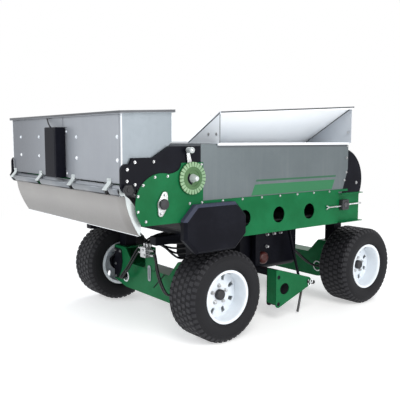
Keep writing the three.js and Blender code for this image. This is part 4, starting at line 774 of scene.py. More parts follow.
axle = {
    "spread": 75, "thick": 10, "end": 492, "bottom": 145, "lobeTop": 445, "lobeInner": 330,
    "dipTop": 335, "dipHalf": 230, "corner": 34, "holeZ": 227, "holeRadius": 34, "ringLift": 3,
    "pillarHalf": 45, "pillarY": 420, "railFoot": 599.7, "seam": ((-186, 332), (-50, 214)), "foldShadowWidth": 12,
    "tabHalf": 60, "tabTop": 502, "bolts": ((470, 404), (405, 404), (470, 300), (470, 205)),
    "motorPlate": ((491.5, 190), (491.5, 424), (388, 424), (372, 330), (392, 262), (440, 190)),
}
slottedBar = {"y": 6, "half": 18, "bottom": 251, "top": 364, "slotHalf": 5, "slotEnd": 14}


def upright(y, half, bottom, top):
    return [(y - half, bottom), (y + half, bottom), (y + half, top), (y - half, top)]


def axlePiece(name, x, valveTab):
    form = Form()
    inner, lobe, dip, half = axle["end"] - axle["thick"], axle["lobeInner"], axle["dipTop"], axle["dipHalf"]
    foot = axle["bottom"] + axle["corner"]
    outline = rounded([
        (-inner, foot), (-lobe, axle["bottom"]), (lobe, axle["bottom"]), (inner, foot),
        (inner, axle["lobeTop"]), (lobe, axle["lobeTop"]), (half, dip), (-half, dip),
        (-lobe, axle["lobeTop"]), (-inner, axle["lobeTop"])], 12, 4)
    holes = [circle(side * lobe, axle["holeZ"], axle["holeRadius"], 36) for side in (-1, 1)]
    for face in (-axle["spread"], axle["spread"] - axle["thick"]):
        form.plate(outline, (x + face, x + face + axle["thick"]), holes, "X", 1.2)
    span = (x - axle["spread"], x + axle["spread"])
    between = (span[0] + 0.4, span[1] - 0.4)
    pillars = Form()
    reach = axle["pillarHalf"]
    for side in sides.values():
        form.box(span, off(side, inner - 0.3, axle["end"]), (foot, axle["lobeTop"]), 1.5)
        y = side * axle["pillarY"]
        height = (axle["lobeTop"] - 5, axle["railFoot"])
        pillars.box((x - reach, x + reach), (y - reach, y + reach), height, 3)
        top = axle["lobeTop"] - 0.4
        form.box(between, off(side, lobe, inner), (top - axle["thick"], top), 1)
    form.box(between, (-half, half), (dip - 0.4 - axle["thick"], dip - 0.4), 1)
    if valveTab:
        tab = (-axle["tabHalf"], axle["tabHalf"])
        form.box((span[0], span[0] + axle["thick"]), tab, (dip - 8, axle["tabTop"]), 1.5)
    form.piece(f"{name}_plates", "base", "green_paint", [name])
    pillars.piece(f"{name}_pillars", "base", "black_paint")

    trim = Form()
    hole, lift = axle["holeRadius"], axle["ringLift"]
    for side in sides.values():
        for step in (-1, 1):
            ring = [(hole, 0), (hole, step * lift), (hole + 7, step * lift), (hole + 9, 0)]
            trim.lathe((x + step * axle["spread"], side * lobe, axle["holeZ"]), ring, "X", 36)
    if valveTab:
        face = x - axle["spread"]
        bar = slottedBar
        outline = rounded(upright(bar["y"], bar["half"], bar["bottom"], bar["top"]), bar["half"], 5)
        ends = bar["bottom"] + bar["slotEnd"], bar["top"] - bar["slotEnd"]
        slot = rounded(upright(bar["y"], bar["slotHalf"], *ends), bar["slotHalf"], 4)
        strip = Form()
        strip.plate(outline, (face - 5, face - 0.2), [slot], "X", 0.8)
        strip.piece(f"{name}_slotted_bar", "base", "bare_metal", look="galvanised")
    trim.piece(f"{name}_hole_rings", "base", "bare_metal", look="pale_galvanised")
    if valveTab:
        # A black strip along the diagonal fold of the rear axle plate: a painted shadow of the fold
        seam = Form()
        width = axle["foldShadowWidth"]
        (y0, z0), (y1, z1) = axle["seam"]
        fold = [(y0, z0), (y0 + width, z0), (y1 + width, z1), (y1, z1)]
        seam.plate(fold, (face - 2.4, face + 0.5), [], "X", 0.4)
        seam.piece(f"{name}_fold_shadow", "base", "green_paint", look="black_paint")

    fixings = Form()
    cheeks = Form()
    outward = -1 if valveTab else 1
    face = x + outward * axle["spread"]
    for side in sides.values():
        for step in (-1, 1):
            raised = step * 3 if step == outward else 0
            for y, z in axle["bolts"]:
                fixings.bolt((x + step * axle["spread"] + raised, side * y, z), (step, 0, 0), 7, 6)
        cheek = rounded([(side * y, z) for y, z in axle["motorPlate"]], 16, 4)
        cheeks.plate(cheek, sorted((face + outward * 3, face + outward * 0.2)), [], "X", 0.8)
    cheeks.piece(f"{name}_motor_plates", "base", "black_paint")
    fixings.piece(f"{name}_bolts", "base", "bare_metal")


axlePiece("rear_axle", 0, True)
axlePiece("front_axle", wheels["wheelbase"], False)

# Hoses: smooth runs between the fittings that hold both of their ends, with a pressed sleeve at each

hose = {
    "radius": 7, "sleeve": 9, "sleeveLength": 26, "pairGap": 24, "inset": 30, "sag": 26,
    "out": 400, "in": 520, "rise": 575,
}


def hoseRun(points, steps=9):
    run = [Vector(point) for point in points]
    run = [2 * run[0] - run[1]] + run + [2 * run[-1] - run[-2]]
    made = []
    for a, b, c, d in zip(run, run[1:], run[2:], run[3:]):
        before, here, after = [max((q - p).length, 0.001) ** 0.5 for p, q in ((a, b), (b, c), (c, d))]
        leave = ((b - a) / before - (c - a) / (before + here) + (c - b) / here) * here
        arrive = ((c - b) / here - (d - b) / (here + after) + (d - c) / after) * here
        for j in range(steps):
            t = j / steps
            made.append(tuple(
                b + leave * t + (3 * (c - b) - 2 * leave - arrive) * t ** 2
                + (2 * (b - c) + leave + arrive) * t ** 3))
    made.append(tuple(run[-2]))
    return made


def hoseEnd(x, side, share):
    along = x + share * hose["pairGap"]
    inPlate = axle["lobeInner"] + share * hose["pairGap"]
    end = axle["end"] - axle["thick"] - 0.6
    middle = (axle["holeZ"] + wheels["radius"]) / 2
    return [
        (x - axle["spread"], side * inPlate, axle["holeZ"]),
        (along, side * (inPlate + hose["inset"] + hose["pairGap"]), middle),
        (along, side * (end - hose["inset"]), wheels["radius"]),
        (along, side * end, wheels["radius"]),
    ]


def addHose(hoses, sleeves, points):
    run = hoseRun(points)
    hoses.tube(run, hose["radius"], 14)
    for near, far in ((run[0], run[3]), (run[-1], run[-4])):
        start, end = Vector(near), Vector(far)
        tip = start + (end - start).normalized() * hose["sleeveLength"]
        sleeves.bar(tuple(start), tuple(tip), hose["sleeve"], 18, 1)


valve = {
    "half": 34, "depth": 60, "bottom": 430, "top": 502, "face": -75.3, "fittings": 34, "spacing": 34,
    "nut": 9, "neck": 6.5, "tankFace": 429.7, "plugs": ((0, 480, 9), (-16, 448, 7)),
    "extraHoses": ((-27, -258, 446), (-9, -222, 474), (9, -186, 502), (27, -150, 530)),
    "extraRun": ((429.7, 1.2, -15), (370, 1.2, -15), (220, 1.15, -5), (80, 1.05, 0), (-20, 1, 10)),
    "extraX": 19, "extraRise": 30,
}


def valvePiece():
    form = Form()
    hoses = Form()
    body = (valve["face"] - valve["depth"], valve["face"])
    half, top, nut, end = valve["half"], valve["top"], valve["nut"], valve["tankFace"]
    form.box(body, (-half, half), (valve["bottom"], top), 2.5)
    middle = valve["face"] - valve["depth"] / 2
    bend = middle - hose["inset"]
    reach = half + valve["fittings"]
    for share in (-0.5, 0.5):
        z = (valve["bottom"] + top) / 2 + share * valve["spacing"]
        for side in sides.values():
            form.barY(middle, z, nut, off(side, half - 4, half + 8), 6, 1)
            form.barY(middle, z, valve["neck"], off(side, half + 6, half + 22), 18, 0.6)
            form.barY(middle, z, nut, off(side, half + 16, reach), 6, 1)
            inPlate = axle["lobeInner"] + share * hose["pairGap"]
            addHose(hoses, form, [
                (middle, side * (reach - 1), z), (middle, side * (reach + hose["inset"]), z),
                (bend, side * (reach + inPlate) / 2, (z + axle["holeZ"]) / 2 - hose["sag"]),
                (bend, side * (inPlate - hose["inset"]), axle["holeZ"]), *hoseEnd(0, side, share)])
        y = share * valve["spacing"]
        addHose(hoses, form, [
            (middle, y, top - 1), (middle, y, top + hose["inset"]), (0, y, hose["rise"]),
            (215, y, hose["rise"]), (end + 0.3 - 2 * hose["inset"], y, hose["in"]), (end, y, hose["in"])])
    port = middle + valve["extraX"]
    for start, y, z in valve["extraHoses"]:
        run = [(x, y * share, z + rise) for x, share, rise in valve["extraRun"]]
        addHose(hoses, form, run + [
            (port + 13, (y + start) / 2, top + valve["extraRise"]),
            (port, start, top + hose["inset"]), (port, start, top - 1)])
    for y, z, radius in valve["plugs"]:
        form.barX(y, z, radius, (body[0] - 5, body[0] + 5), 6, 1)
    form.piece("valve_body", "base", "bare_metal", ["valve_block"])
    hoses.piece("valve_hoses", "base", "belt_rubber", flat=False, look="black_plastic")


valvePiece()
print("axles made")


# Oil tank welded under the front cross member, with its filter and the front motors' hoses

tank = {
    "rear": 430, "front": 1010, "half": 380, "bottom": 300, "chamfer": 30, "top": 655, "crossTop": 700,
    "cross": 930, "crossHalf": 30, "reach": 774.7, "filterX": 620, "filterZ": 400,
    "fittings": ((690, 560), (760, 560), (830, 560), (540, 585), (690, 470)),
}
filterProfile = [(0, 48), (22, 48), (34, 46), (42, 40), (45, 32), (45.6, 8), (44, 2), (40, 0), (0, 0)]


def tankPiece():
    t = tank
    form = Form()
    foot = t["half"] - t["chamfer"]
    section = rounded([
        (-t["half"], t["bottom"] + t["chamfer"]), (-foot, t["bottom"]), (foot, t["bottom"]),
        (t["half"], t["bottom"] + t["chamfer"]), (t["half"], t["top"]), (-t["half"], t["top"])], 10, 3)
    form.plate(section, (t["rear"], t["front"]), [], "X", 5, 3)
    neck = (t["cross"] - t["crossHalf"], t["cross"] + t["crossHalf"])
    form.box(neck, (-t["half"], t["half"]), (t["top"] - 4, t["crossTop"]), 2)
    form.box(neck, (-t["reach"], t["reach"]), (t["top"] + 0.3, t["crossTop"]), 2)
    form.piece("oil_tank", "base", "black_paint", ["front_cross_member"])
    filterForm = Form()
    filterForm.lathe((t["filterX"], -t["half"] - 12, t["filterZ"]), filterProfile, steps=40, side=-1)
    filterForm.piece("oil_filter", "base", "black_paint", flat=False, look="filter_paint")
    head = Form()
    head.barY(t["filterX"], t["filterZ"], 45, (-t["half"] - 13, -t["half"] + 2), 40, 3)
    for x, z in t["fittings"]:
        head.barY(x, z, 13, (-t["half"] - 9, -t["half"] + 2), 6, 1)
        head.barY(x, z, 8.5, (-t["half"] - 24, -t["half"] - 8), 20, 1)
    head.piece("tank_fittings", "base", "bare_metal")
    hoses = Form()
    sleeves = Form()
    start = t["front"] - 1
    clear = 2 * hose["inset"]
    for side in sides.values():
        for share in (-0.5, 0.5):
            y = side * (axle["lobeInner"] + share * hose["pairGap"] - hose["inset"])
            addHose(hoses, sleeves, [
                (start, y, hose["out"]), (start + clear, y, hose["out"] - hose["sag"] / 2),
                (wheels["wheelbase"] - axle["spread"] - clear, y, axle["holeZ"] + hose["sag"]),
                *hoseEnd(wheels["wheelbase"], side, share)])
    hoses.piece("front_hoses", "base", "belt_rubber", flat=False, look="black_plastic")
    sleeves.piece("front_hose_sleeves", "base", "bare_metal")


tankPiece()
print("tank made")


# Side plates with their row of bolts

plates = {
    "face": 780, "thick": 5, "top": 1120, "panelTop": 900, "panelBottom": 660, "panelFront": 1000,
    "stripFront": 1104, "frontEdge": -222, "shoulder": -377, "lobe": 168, "lobeFlat": 787,
    "beaterX": -508, "beaterZ": 900, "drumX": -280, "drumZ": 790, "dialX": -306, "dialZ": 1033,
    "holes": (101, 402, 694), "holeRadius": 52, "holeZ": 770, "stripDrop": 16, "heel": 45,
    "tabRear": -118, "tabFront": 0, "tabBottom": 620, "sprocketX": -60, "sprocketZ": 668,
    "beaterHole": 24.5, "drumHole": 18.6, "dialHole": 12.5, "sprocketHole": 17, "hopperFace": 774.7,
}


def sidePlate(name, side):
    p = plates
    half = math.sqrt(p["lobe"] ** 2 - (p["beaterZ"] - p["lobeFlat"]) ** 2)
    start = math.degrees(math.atan2(p["lobeFlat"] - p["beaterZ"], -half)) + 360
    blend = math.degrees(math.atan2(p["top"] - p["beaterZ"], p["shoulder"] - p["beaterX"])) / 2 + 45
    lobe = arc(p["beaterX"], p["beaterZ"], p["lobe"], start, blend, 44)
    last = Vector(lobe[-1])
    bend, end = Vector((p["shoulder"], p["beaterZ"] + p["lobe"])), Vector((p["shoulder"], p["top"]))
    for j in range(1, 11):
        t = j / 10
        lobe.append(tuple(last * (1 - t) ** 2 + bend * 2 * t * (1 - t) + end * t ** 2))
    outline = lobe + [
        (p["frontEdge"], p["top"]), (p["frontEdge"], p["panelTop"]), (p["stripFront"], p["panelTop"]),
        (p["stripFront"], p["panelTop"] - p["stripDrop"]), (p["panelFront"], p["panelTop"] - p["stripDrop"]),
        (p["panelFront"], p["panelBottom"]), (p["tabFront"], p["panelBottom"]),
        (p["tabFront"], p["tabBottom"]), (p["tabRear"], p["tabBottom"]), (p["tabRear"], p["panelBottom"]),
        (p["drumX"] - p["heel"], p["panelBottom"]), (p["beaterX"] + half, p["lobeFlat"])]
    holes = [circle(x, p["holeZ"], p["holeRadius"], 40) for x in p["holes"]]
    holes.append(circle(p["beaterX"], p["beaterZ"], p["beaterHole"], 24))
    holes.append(circle(p["drumX"], p["drumZ"], p["drumHole"], 24))
    holes.append(circle(p["dialX"], p["dialZ"], p["dialHole"], 20))
    if side < 0:
        holes.append(circle(p["sprocketX"], p["sprocketZ"], p["sprocketHole"], 24))
    form = Form()
    form.plate(outline, off(side, p["face"] - p["thick"], p["face"]), holes, "Y", 1.2)
    form.piece(f"{name}_side_sheet", "base", "green_paint", [f"{name}_side_plate"])


bolts = {
    "lobe": [(-628, 1007), (-661, 950), (-662, 868), (-613, 812), (-553, 1048), (-470, 1050)],
    "strip": [(x, 891) for x in (-320, -232, -75, 82, 245, 408, 571, 734, 897)],
    "front": [(1086, 1018), (1066, 962), (1086, 1120), (1090, 1205)],
    "tab": [(-104, 632), (-14, 632), (-104, 704), (-14, 704)],
    "dial": [(-236, 1108)],
}

for name, side in sides.items():
    sidePlate(name, side)
    fixings = Form()
    facing = (0, side, 0)
    for x, z in bolts["lobe"] + bolts["strip"] + bolts["dial"]:
        fixings.bolt((x, side * plates["face"], z), facing, 5.2, 5)
    for x, z in bolts["tab"]:
        if side < 0:
            fixings.bolt((x, side * plates["face"], z), facing, 6.5, 5)
    for x, z in bolts["front"]:
        fixings.bolt((x, side * plates["hopperFace"], z), facing, 6, 5)
    fixings.piece(f"{name}_side_bolts", "base", "bare_metal")
print("side plates made")


# Beater bearings and the beater's motor

bearing = {
    "x": plates["beaterX"], "z": plates["beaterZ"], "face": plates["face"], "bore": 22.6, "thick": 12,
    "span": 52, "hub": 34, "ear": 18, "cap": 20, "lean": 76,
    "motor": ((47.5, 812.4, 826, 1.5), (43, 824, 862, 2), (47, 860, 874.2, 3)),
}


def bearingOutline(hub, ear, span, turn):
    lean = math.degrees(math.acos((hub - ear) / span))
    made = arc(-span, 0, ear, 180 - lean, 180 + lean, 10)
    made += arc(0, 0, hub, 180 + lean, 360 - lean, 12)
    made += arc(span, 0, ear, -lean, lean, 10)
    made += arc(0, 0, hub, lean, 180 - lean, 12)
    c, s = math.cos(math.radians(turn)), math.sin(math.radians(turn))
    return [(bearing["x"] + a * c - b * s, bearing["z"] + a * s + b * c) for a, b in made]


for name, side in sides.items():
    face = bearing["face"] + bearing["thick"]
    form = Form()
    hole = circle(bearing["x"], bearing["z"], bearing["bore"], 24)
    outline = bearingOutline(bearing["hub"], bearing["ear"], bearing["span"], bearing["lean"])
    form.plate(outline, off(side, bearing["face"] + 0.3, face), [hole], "Y", 2.5, 3)
    centre = (bearing["x"], 0, bearing["z"])
    collar = [(23, face - 2), (31, face - 2), (31, face + 5), (27, face + 6), (23, face + 6)]
    form.lathe(centre, [(r, side * a) for r, a in collar], steps=36, closed=True)
    form.piece(f"{name}_bearing_flange", "base", "bare_metal")
    cap = Form()
    reach, seat = face + bearing["cap"], face + 4
    if side < 0:
        profile = [(0, reach), (20, reach - 0.5), (27, reach - 3), (30, reach - 8), (30, seat), (0, seat)]
    else:
        profile = [(23, reach), (27, reach - 0.5), (30, reach - 3), (30, seat), (23, seat)]
    cap.lathe(centre, [(r, side * a) for r, a in profile], steps=40, closed=side > 0)
    cap.piece(f"{name}_bearing_cap", "base", "cast_metal", [f"{name}_beater_bearing"])
    fixings = Form()
    turn = math.radians(bearing["lean"])
    for end in (-1, 1):
        place = (bearing["x"] + end * bearing["span"] * math.cos(turn), side * face,
                 bearing["z"] + end * bearing["span"] * math.sin(turn))
        fixings.bolt(place, (0, side, 0), 7.5, 7)
    fixings.piece(f"{name}_bearing_bolts", "base", "bare_metal")

motor = Form()
for radius, near, far, edge in bearing["motor"]:
    motor.barY(bearing["x"], bearing["z"], radius, (near, far), 40, edge)
motor.piece("beater_motor_case", "base", "black_paint", ["beater_motor"])
print("bearings made")


# Dial, lever and the knob on the end of the gate shaft

dial = {
    "x": plates["dialX"], "z": plates["dialZ"], "radius": 92, "notches": 26, "depth": 5, "notchTurn": 2.3,
    "toothTurn": 6.9, "plate": 780.3, "near": 786.6, "thick": 8, "recess": 46, "ring": 68, "toothHalf": 6.8,
    "padInner": 36, "padOuter": 78, "padDrop": 9, "bore": 12.8,
    "knobShadowInner": 25.2, "knobShadowOuter": 37, "knobShadowStart": 128, "slotEnd": 262,
}


def dialPiece():
    d = dial
    face = d["near"] + d["thick"]
    outline = []
    notch, reach = d["notchTurn"], d["radius"]
    corners = ((-notch, reach), (0, reach - d["depth"]), (notch, reach), (d["toothTurn"], reach))
    for i in range(d["notches"]):
        turn = 360 * i / d["notches"]
        for angle, radius in corners:
            a = math.radians(turn + angle)
            outline.append((d["x"] + radius * math.cos(a), d["z"] + radius * math.sin(a)))
    form = Form()
    form.plate(outline, (-(face - 3), -d["near"]), [circle(d["x"], d["z"], d["bore"], 24)], "Y", 0.6)
    form.lathe((d["x"], 0, d["z"]), [
        (13, -(face - 3.2)), (d["recess"] - 1, -(face - 3.2)), (d["recess"] + 1, -face),
        (d["ring"] - 3, -face), (d["ring"], -(face - 3.2))], steps=64)
    pad = arc(d["x"], d["z"] - d["padDrop"], d["padOuter"], 180, 360, 28)
    pad += arc(d["x"], d["z"] - d["padDrop"], d["padInner"], 360, 180, 20)
    form.plate(pad, (-(d["near"] + 1), -d["plate"]), [], "Y", 0)
    form.piece("dial_disc", "base", "dial_paint", ["dial"])
    # A black crescent around the knob's left and lower side: a painted shadow of the knob on the dial
    slot = arc(d["x"], d["z"], d["knobShadowOuter"], d["knobShadowStart"], d["slotEnd"], 20)
    slot += arc(d["x"], d["z"], d["knobShadowInner"], d["slotEnd"], d["knobShadowStart"], 20)
    dark = Form()
    dark.plate(slot, (-(face - 2.2), -(face - 3.4)), [], "Y", 0)
    dark.piece("dial_knob_shadow", "base", "black_paint")
    teeth = Form()
    half, inner, outer = d["toothHalf"], d["ring"] - 4, d["radius"] - 1
    corners = [(inner, -half), (outer, -half - 0.7), (outer, half + 0.7), (inner, half)]
    for i in range(d["notches"]):
        a = math.radians(360 * (i + 0.5) / d["notches"])
        c, s = math.cos(a), math.sin(a)
        tooth = [(d["x"] + r * c - t * s, d["z"] + r * s + t * c) for r, t in corners]
        teeth.plate(tooth, (-face, -(face - 3.4)), [], "Y", 0.5, 1)
    teeth.piece("dial_teeth", "base", "dial_paint", look="dial_teeth")


dialPiece()

lever = {
    "angle": 101, "length": 160, "half": 9, "base": 780.3, "thick": 6, "hub": 24, "bore": 12.6, "reach": 52,
    "knobFoot": 791.9, "knobEnd": 832.6,
}


def leverPiece():
    v = lever
    c, s = math.cos(math.radians(v["angle"])), math.sin(math.radians(v["angle"]))

    def turned(points):
        return [(dial["x"] + a * c - b * s, dial["z"] + a * s + b * c) for a, b in points]

    form = Form()
    outer, far = v["base"] + v["thick"], v["base"] + v["reach"]
    lean = math.degrees(math.asin((v["hub"] - v["half"]) / v["length"]))
    blade = arc(0, 0, v["hub"], 90 - lean, 270 + lean, 28) + arc(v["length"], 0, v["half"], -90, 90, 12)
    form.plate(turned(blade), (-outer, -v["base"]), [circle(dial["x"], dial["z"], v["bore"], 24)], "Y", 1.2)
    tipX, tipZ = turned([(v["length"], 0)])[0]
    pin = [(0, far), (7, far), (10, far - 2), (11, far - 5), (11, outer - 1), (0, outer - 1)]
    form.lathe((tipX, 0, tipZ), pin, steps=32, side=-1)
    form.piece("lever_blade", "gate_control", "bare_metal", ["gate_lever"])
    grip = Form()
    end, foot = far - 3, outer + 1
    sleeve = [
        (11.2, end), (14, end), (16.4, end - 3), (17, end - 9), (15.6, end - 22), (16.6, foot + 4),
        (16, foot), (11.2, foot)]
    grip.lathe((tipX, 0, tipZ), sleeve, steps=36, closed=True, side=-1)
    grip.piece("lever_grip", "gate_control", "black_plastic", flat=False, look="end_zinc")
    cap = Form()
    foot, end = v["knobFoot"] - 0.2, v["knobEnd"] + 0.4
    cone = [
        (0, end), (11.5, end), (13.6, end - 1.2), (24.6, foot + 1.2), (24.6, foot), (12.2, foot), (0, foot)]
    cap.lathe((dial["x"], 0, dial["z"]), cone, steps=48, side=-1)
    cap.piece("shaft_cap", "gate_control", "bare_metal", flat=False, look="end_zinc")


leverPiece()
print("dial and lever made")


# Rear hood fittings: bolts, seams, corner flanges with a painted highlight, a dark strip of painted shade
# under the lip, the strap and the cover box

hood = {
    "rear": -743, "face": 755, "topRear": 1396, "topFront": 1411,
    "boltsY": (290, -250, -717, 600), "boltsZ": (1262, 1140), "seamY": -70, "seamGap": 22,
    "seamLeft": 700, "seamRight": -735, "seamFoot": 1024, "seamTop": 1379,
    "lipRear": -758, "lipFront": -410, "lipHalf": 770, "lipShade": 13,
    "strap": ((4, 150, 1386), (16, 120, 1372), (34, 60, 1342), (38, 34, 1327), (38, 22, 1321)),
}
cover = {
    "rear": -743.3, "depth": 66, "left": 56, "right": -105, "bottom": 1018, "top": 1320, "edge": 6,
    "flange": 26, "flangeThick": 2, "panelY": 14, "panelZ": 16, "boltY": 14, "boltZ": 26,
}


def hoodTrim():
    h = hood
    fixings = Form()
    for y in h["boltsY"]:
        for z in h["boltsZ"]:
            fixings.bolt((h["rear"], y, z), (-1, 0, 0), 7.5, 5)
    for z in (cover["bottom"] + cover["boltZ"], cover["top"] - cover["boltZ"]):
        for y in (cover["right"] - cover["boltY"], cover["left"] + cover["boltY"]):
            fixings.bolt((h["rear"], y, z), (-1, 0, 0), 5, 3)
    fixings.piece("hood_bolts", "base", "bare_metal", look="pale_galvanised")
    seam = Form()
    height = (h["seamFoot"], h["seamTop"])
    seam.box((h["rear"] - 2, h["rear"] + 1), (h["seamY"] - 1, h["seamLeft"]), height, 0.4)
    seam.box((h["rear"] - 1.6, h["rear"] + 1), (h["seamRight"], h["seamY"] - h["seamGap"]), height, 0.4)
    seam.piece("hood_seam", "base", "galvanised")
    # The corner flanges are near-white: a painted highlight along the hood's corners
    corners = Form()
    height = (h["seamFoot"] + 2, h["seamTop"])
    for side in sides.values():
        corners.box((h["rear"] - 1, h["rear"] + 4), off(side, h["face"] - 4, h["face"] + 1), height, 0.5)
    corners.piece("hood_corner_flanges", "base", "galvanised", look="pale_galvanised")
    # A dark strip of painted shade under the folded top lip of the hood
    lip = Form()
    rear, front, half, deep = h["lipRear"], h["lipFront"], h["lipHalf"], h["lipShade"]
    lip.box((rear - 0.8, rear + 0.6), (-half, half), (h["topRear"] - deep, h["topRear"] - 0.5), 0.3)
    for side in sides.values():
        lip.plate([
            (rear, h["topRear"] - deep), (front, h["topFront"] - deep), (front, h["topFront"] - 0.5),
            (rear, h["topRear"] - 0.5)], off(side, half - 0.6, half + 0.8), [], "Y", 0.3)
    lip.piece("hood_lip_shade", "base", "galvanised", look="edge_zinc")
    strap = Form()
    strap.tube([(h["rear"] - out, y, z) for out, y, z in h["strap"]], 4.5, 10)
    strap.piece("cover_strap", "base", "black_plastic")


def coverPiece():
    c = cover
    face = c["rear"] - c["depth"]
    form = Form()
    form.box((face, c["rear"]), (c["right"], c["left"]), (c["bottom"], c["top"]), c["edge"])
    for z in ((c["bottom"], c["bottom"] + c["flangeThick"]), (c["top"] - c["flangeThick"], c["top"])):
        form.box((c["rear"] - 3, c["rear"]), (c["right"] - c["flange"], c["left"] + c["flange"]), z, 0.6)
    middle, half = (c["left"] + c["right"]) / 2, (c["left"] - c["right"]) / 2 - c["panelY"]
    panel = rounded(upright(middle, half, c["bottom"] + c["panelZ"], c["top"] - c["panelZ"]), 12, 4)
    form.plate(panel, (face - 1.4, face + 1), [], "X", 0.8)
    form.piece("cover_box_shell", "base", "black_paint", ["rear_cover_box"])


hoodTrim()
coverPiece()
print("hood fittings made")


# Brackets that carry the hood

bracket = {
    "front": -240, "bottom": 1004, "upperTop": 1212, "upperX": -455, "riseX": -560, "top": 1152,
    "lobeX": -723, "lobeTop": 1088, "lobeBottom": 1008, "radius": 34, "foot": -640, "window": 130,
    "near": 755.3, "far": 774.7, "barX": -729, "barZ": 989, "barHole": 18.6, "dialHole": 12.6,
    "bolts": [(-722, 1093), (-723, 1033), (-675, 1130), (-557, 1130), (-675, 1013)],
}


def bracketPiece(name, side):
    b = bracket
    gap = math.degrees(math.asin((b["bottom"] - plates["beaterZ"]) / b["window"]))
    window = arc(plates["beaterX"], plates["beaterZ"], b["window"], 180 - gap, gap, 24)
    outline = [
        (b["front"], b["bottom"]), (b["front"], b["upperTop"]), (b["upperX"], b["upperTop"]),
        (b["riseX"], b["top"]), (b["lobeX"] + b["radius"], b["top"])]
    outline += arc(b["lobeX"], b["lobeTop"], b["radius"], 60, 180, 10)
    outline += arc(b["lobeX"], b["lobeBottom"], b["radius"], 180, 270, 10)
    outline += [(b["lobeX"] + b["radius"], b["lobeBottom"] - b["radius"]), (b["foot"], b["bottom"])]
    outline += window
    holes = [
        circle(b["barX"], b["barZ"], b["barHole"], 24),
        circle(plates["dialX"], plates["dialZ"], b["dialHole"], 20)]
    form = Form()
    form.plate(outline, off(side, b["near"], b["far"]), holes, "Y", 1.6)
    form.piece(f"{name}_bracket_plate", "base", "black_paint", [f"{name}_hood_bracket"])
    fixings = Form()
    for x, z in b["bolts"]:
        fixings.bolt((x, side * b["far"], z), (0, side, 0), 5.5, 5)
    fixings.piece(f"{name}_bracket_bolts", "base", "bare_metal")


for name, side in sides.items():
    bracketPiece(name, side)
print("brackets made")


# Hinge bar, straps, pan and clamp knobs

hinge = {
    "x": bracket["barX"], "z": bracket["barZ"], "radius": 18, "half": 784, "collar": 23.4,
    "straps": (714, 268, -203, -631), "strapWidth": 42, "strapTop": 1042,
    "bendZ": 1016, "reach": 32, "drop": 34, "thick": 6, "boltY": 11, "boltDrop": 9,
}


def hingePiece():
    h = hinge
    form = Form()
    form.barY(h["x"], h["z"], h["radius"], (-h["half"], h["half"]), 32, 1)
    near = hood["rear"] - 0.3
    far, bend, half = near - h["thick"], h["bendZ"], h["strapWidth"] / 2
    bent = [
        (near, h["strapTop"]), (far, h["strapTop"]), (far, bend + 5), (far - 3, bend - 1),
        (far - h["reach"], bend - h["drop"]), (near - h["reach"] - 1, bend - h["drop"] - 4),
        (far + 2, bend - 7), (near, bend + 1)]
    leaves = Form()
    for y in h["straps"]:
        form.box((far, near), (y - half, y + half), (h["z"] - 4, bend + 4), 1.2)
        form.barY(h["x"], h["z"], h["collar"], (y - half, y + half), 32, 1.2)
        leaves.plate(bent, (y - half, y + half), [], "Y", 1)
        for shift in (-h["boltY"], h["boltY"]):
            leaves.bolt((far, y + shift, h["strapTop"] - h["boltDrop"]), (-1, 0, 0), 5, 3.5, False)
    form.piece("hinge_tube", "base", "dark_metal", ["hinge_bar"], look="galvanised")
    # The strap leaves take the lighter zinc: a painted highlight on faces that catch the light from above
    leaves.piece("strap_leaves", "base", "bare_metal", look="end_zinc")


hingePiece()

pan = {
    "half": 752, "sheet": 4, "rollRadius": 40, "rollStart": 175, "rollEnd": 265,
    "notchHalf": 27, "notchDrop": 37, "lip": 12, "endWidth": 52, "ear": 26, "bore": 18.6,
    "curve": [(-725, 954), (-712, 884), (-678, 801), (-640, 734)],
}


def panPiece():
    p = pan
    roll = arc(hinge["x"], hinge["z"], p["rollRadius"], p["rollStart"], p["rollEnd"], 12)
    face = smoothRun(p["curve"], 8)
    last = face[-1]
    run = roll + face[1:] + [(last[0] + p["lip"], last[1])]
    breaks = [-p["half"]]
    for y in sorted(hinge["straps"]):
        breaks += [y - p["notchHalf"], y + p["notchHalf"]]
    breaks.append(p["half"])
    bm = bmesh.new()
    grid = [[bm.verts.new(at(x, y, z)) for y in breaks] for x, z in run]
    for i in range(len(run) - 1):
        for j in range(len(breaks) - 1):
            if j % 2 == 1 and run[i][1] > hinge["z"] - p["notchDrop"]:
                continue
            bm.faces.new((grid[i][j], grid[i][j + 1], grid[i + 1][j + 1], grid[i + 1][j]))
    for v in [v for v in bm.verts if not v.link_faces]:
        bm.verts.remove(v)
    form = Form()
    form.take(bm)
    made = form.piece("pan_sheet", "pan", "galvanised", ["deflector_pan"], flat=False, look="pan_zinc")
    wall = made.modifiers.new("wall", "SOLIDIFY")
    wall.thickness = p["sheet"] * mm
    wall.offset = 0
    ends = Form()
    back = []
    for i, (x, z) in enumerate(reversed(face)):
        swell = math.sin(math.pi * i / (len(face) - 1))
        back.append((x + p["sheet"] + p["endWidth"] * swell, z + p["endWidth"] * swell / 4))
    outline = [(hinge["x"] - p["ear"], hinge["z"] - p["rollRadius"] + p["sheet"])] + face + back
    outline += arc(hinge["x"], hinge["z"], p["ear"], 0, 180, 16)
    hole = circle(hinge["x"], hinge["z"], p["bore"], 24)
    for side in sides.values():
        ends.plate(outline, off(side, p["half"] - p["sheet"], p["half"]), [hole], "Y", 0.8)
    ends.piece("pan_ends", "pan", "galvanised", look="end_zinc")
    lip = Form()
    lip.box((last[0] - 3, last[0] + p["lip"] + 1), (-p["half"], p["half"]), (last[1] - 2, last[1] + 5), 0.8)
    lip.piece("pan_lip", "pan", "galvanised", look="pale_galvanised")


panPiece()

knob = {"radius": 30, "waist": 4, "lobes": 6, "near": 784.3, "far": 810, "steps": 72, "collar": 19, "tip": 14}


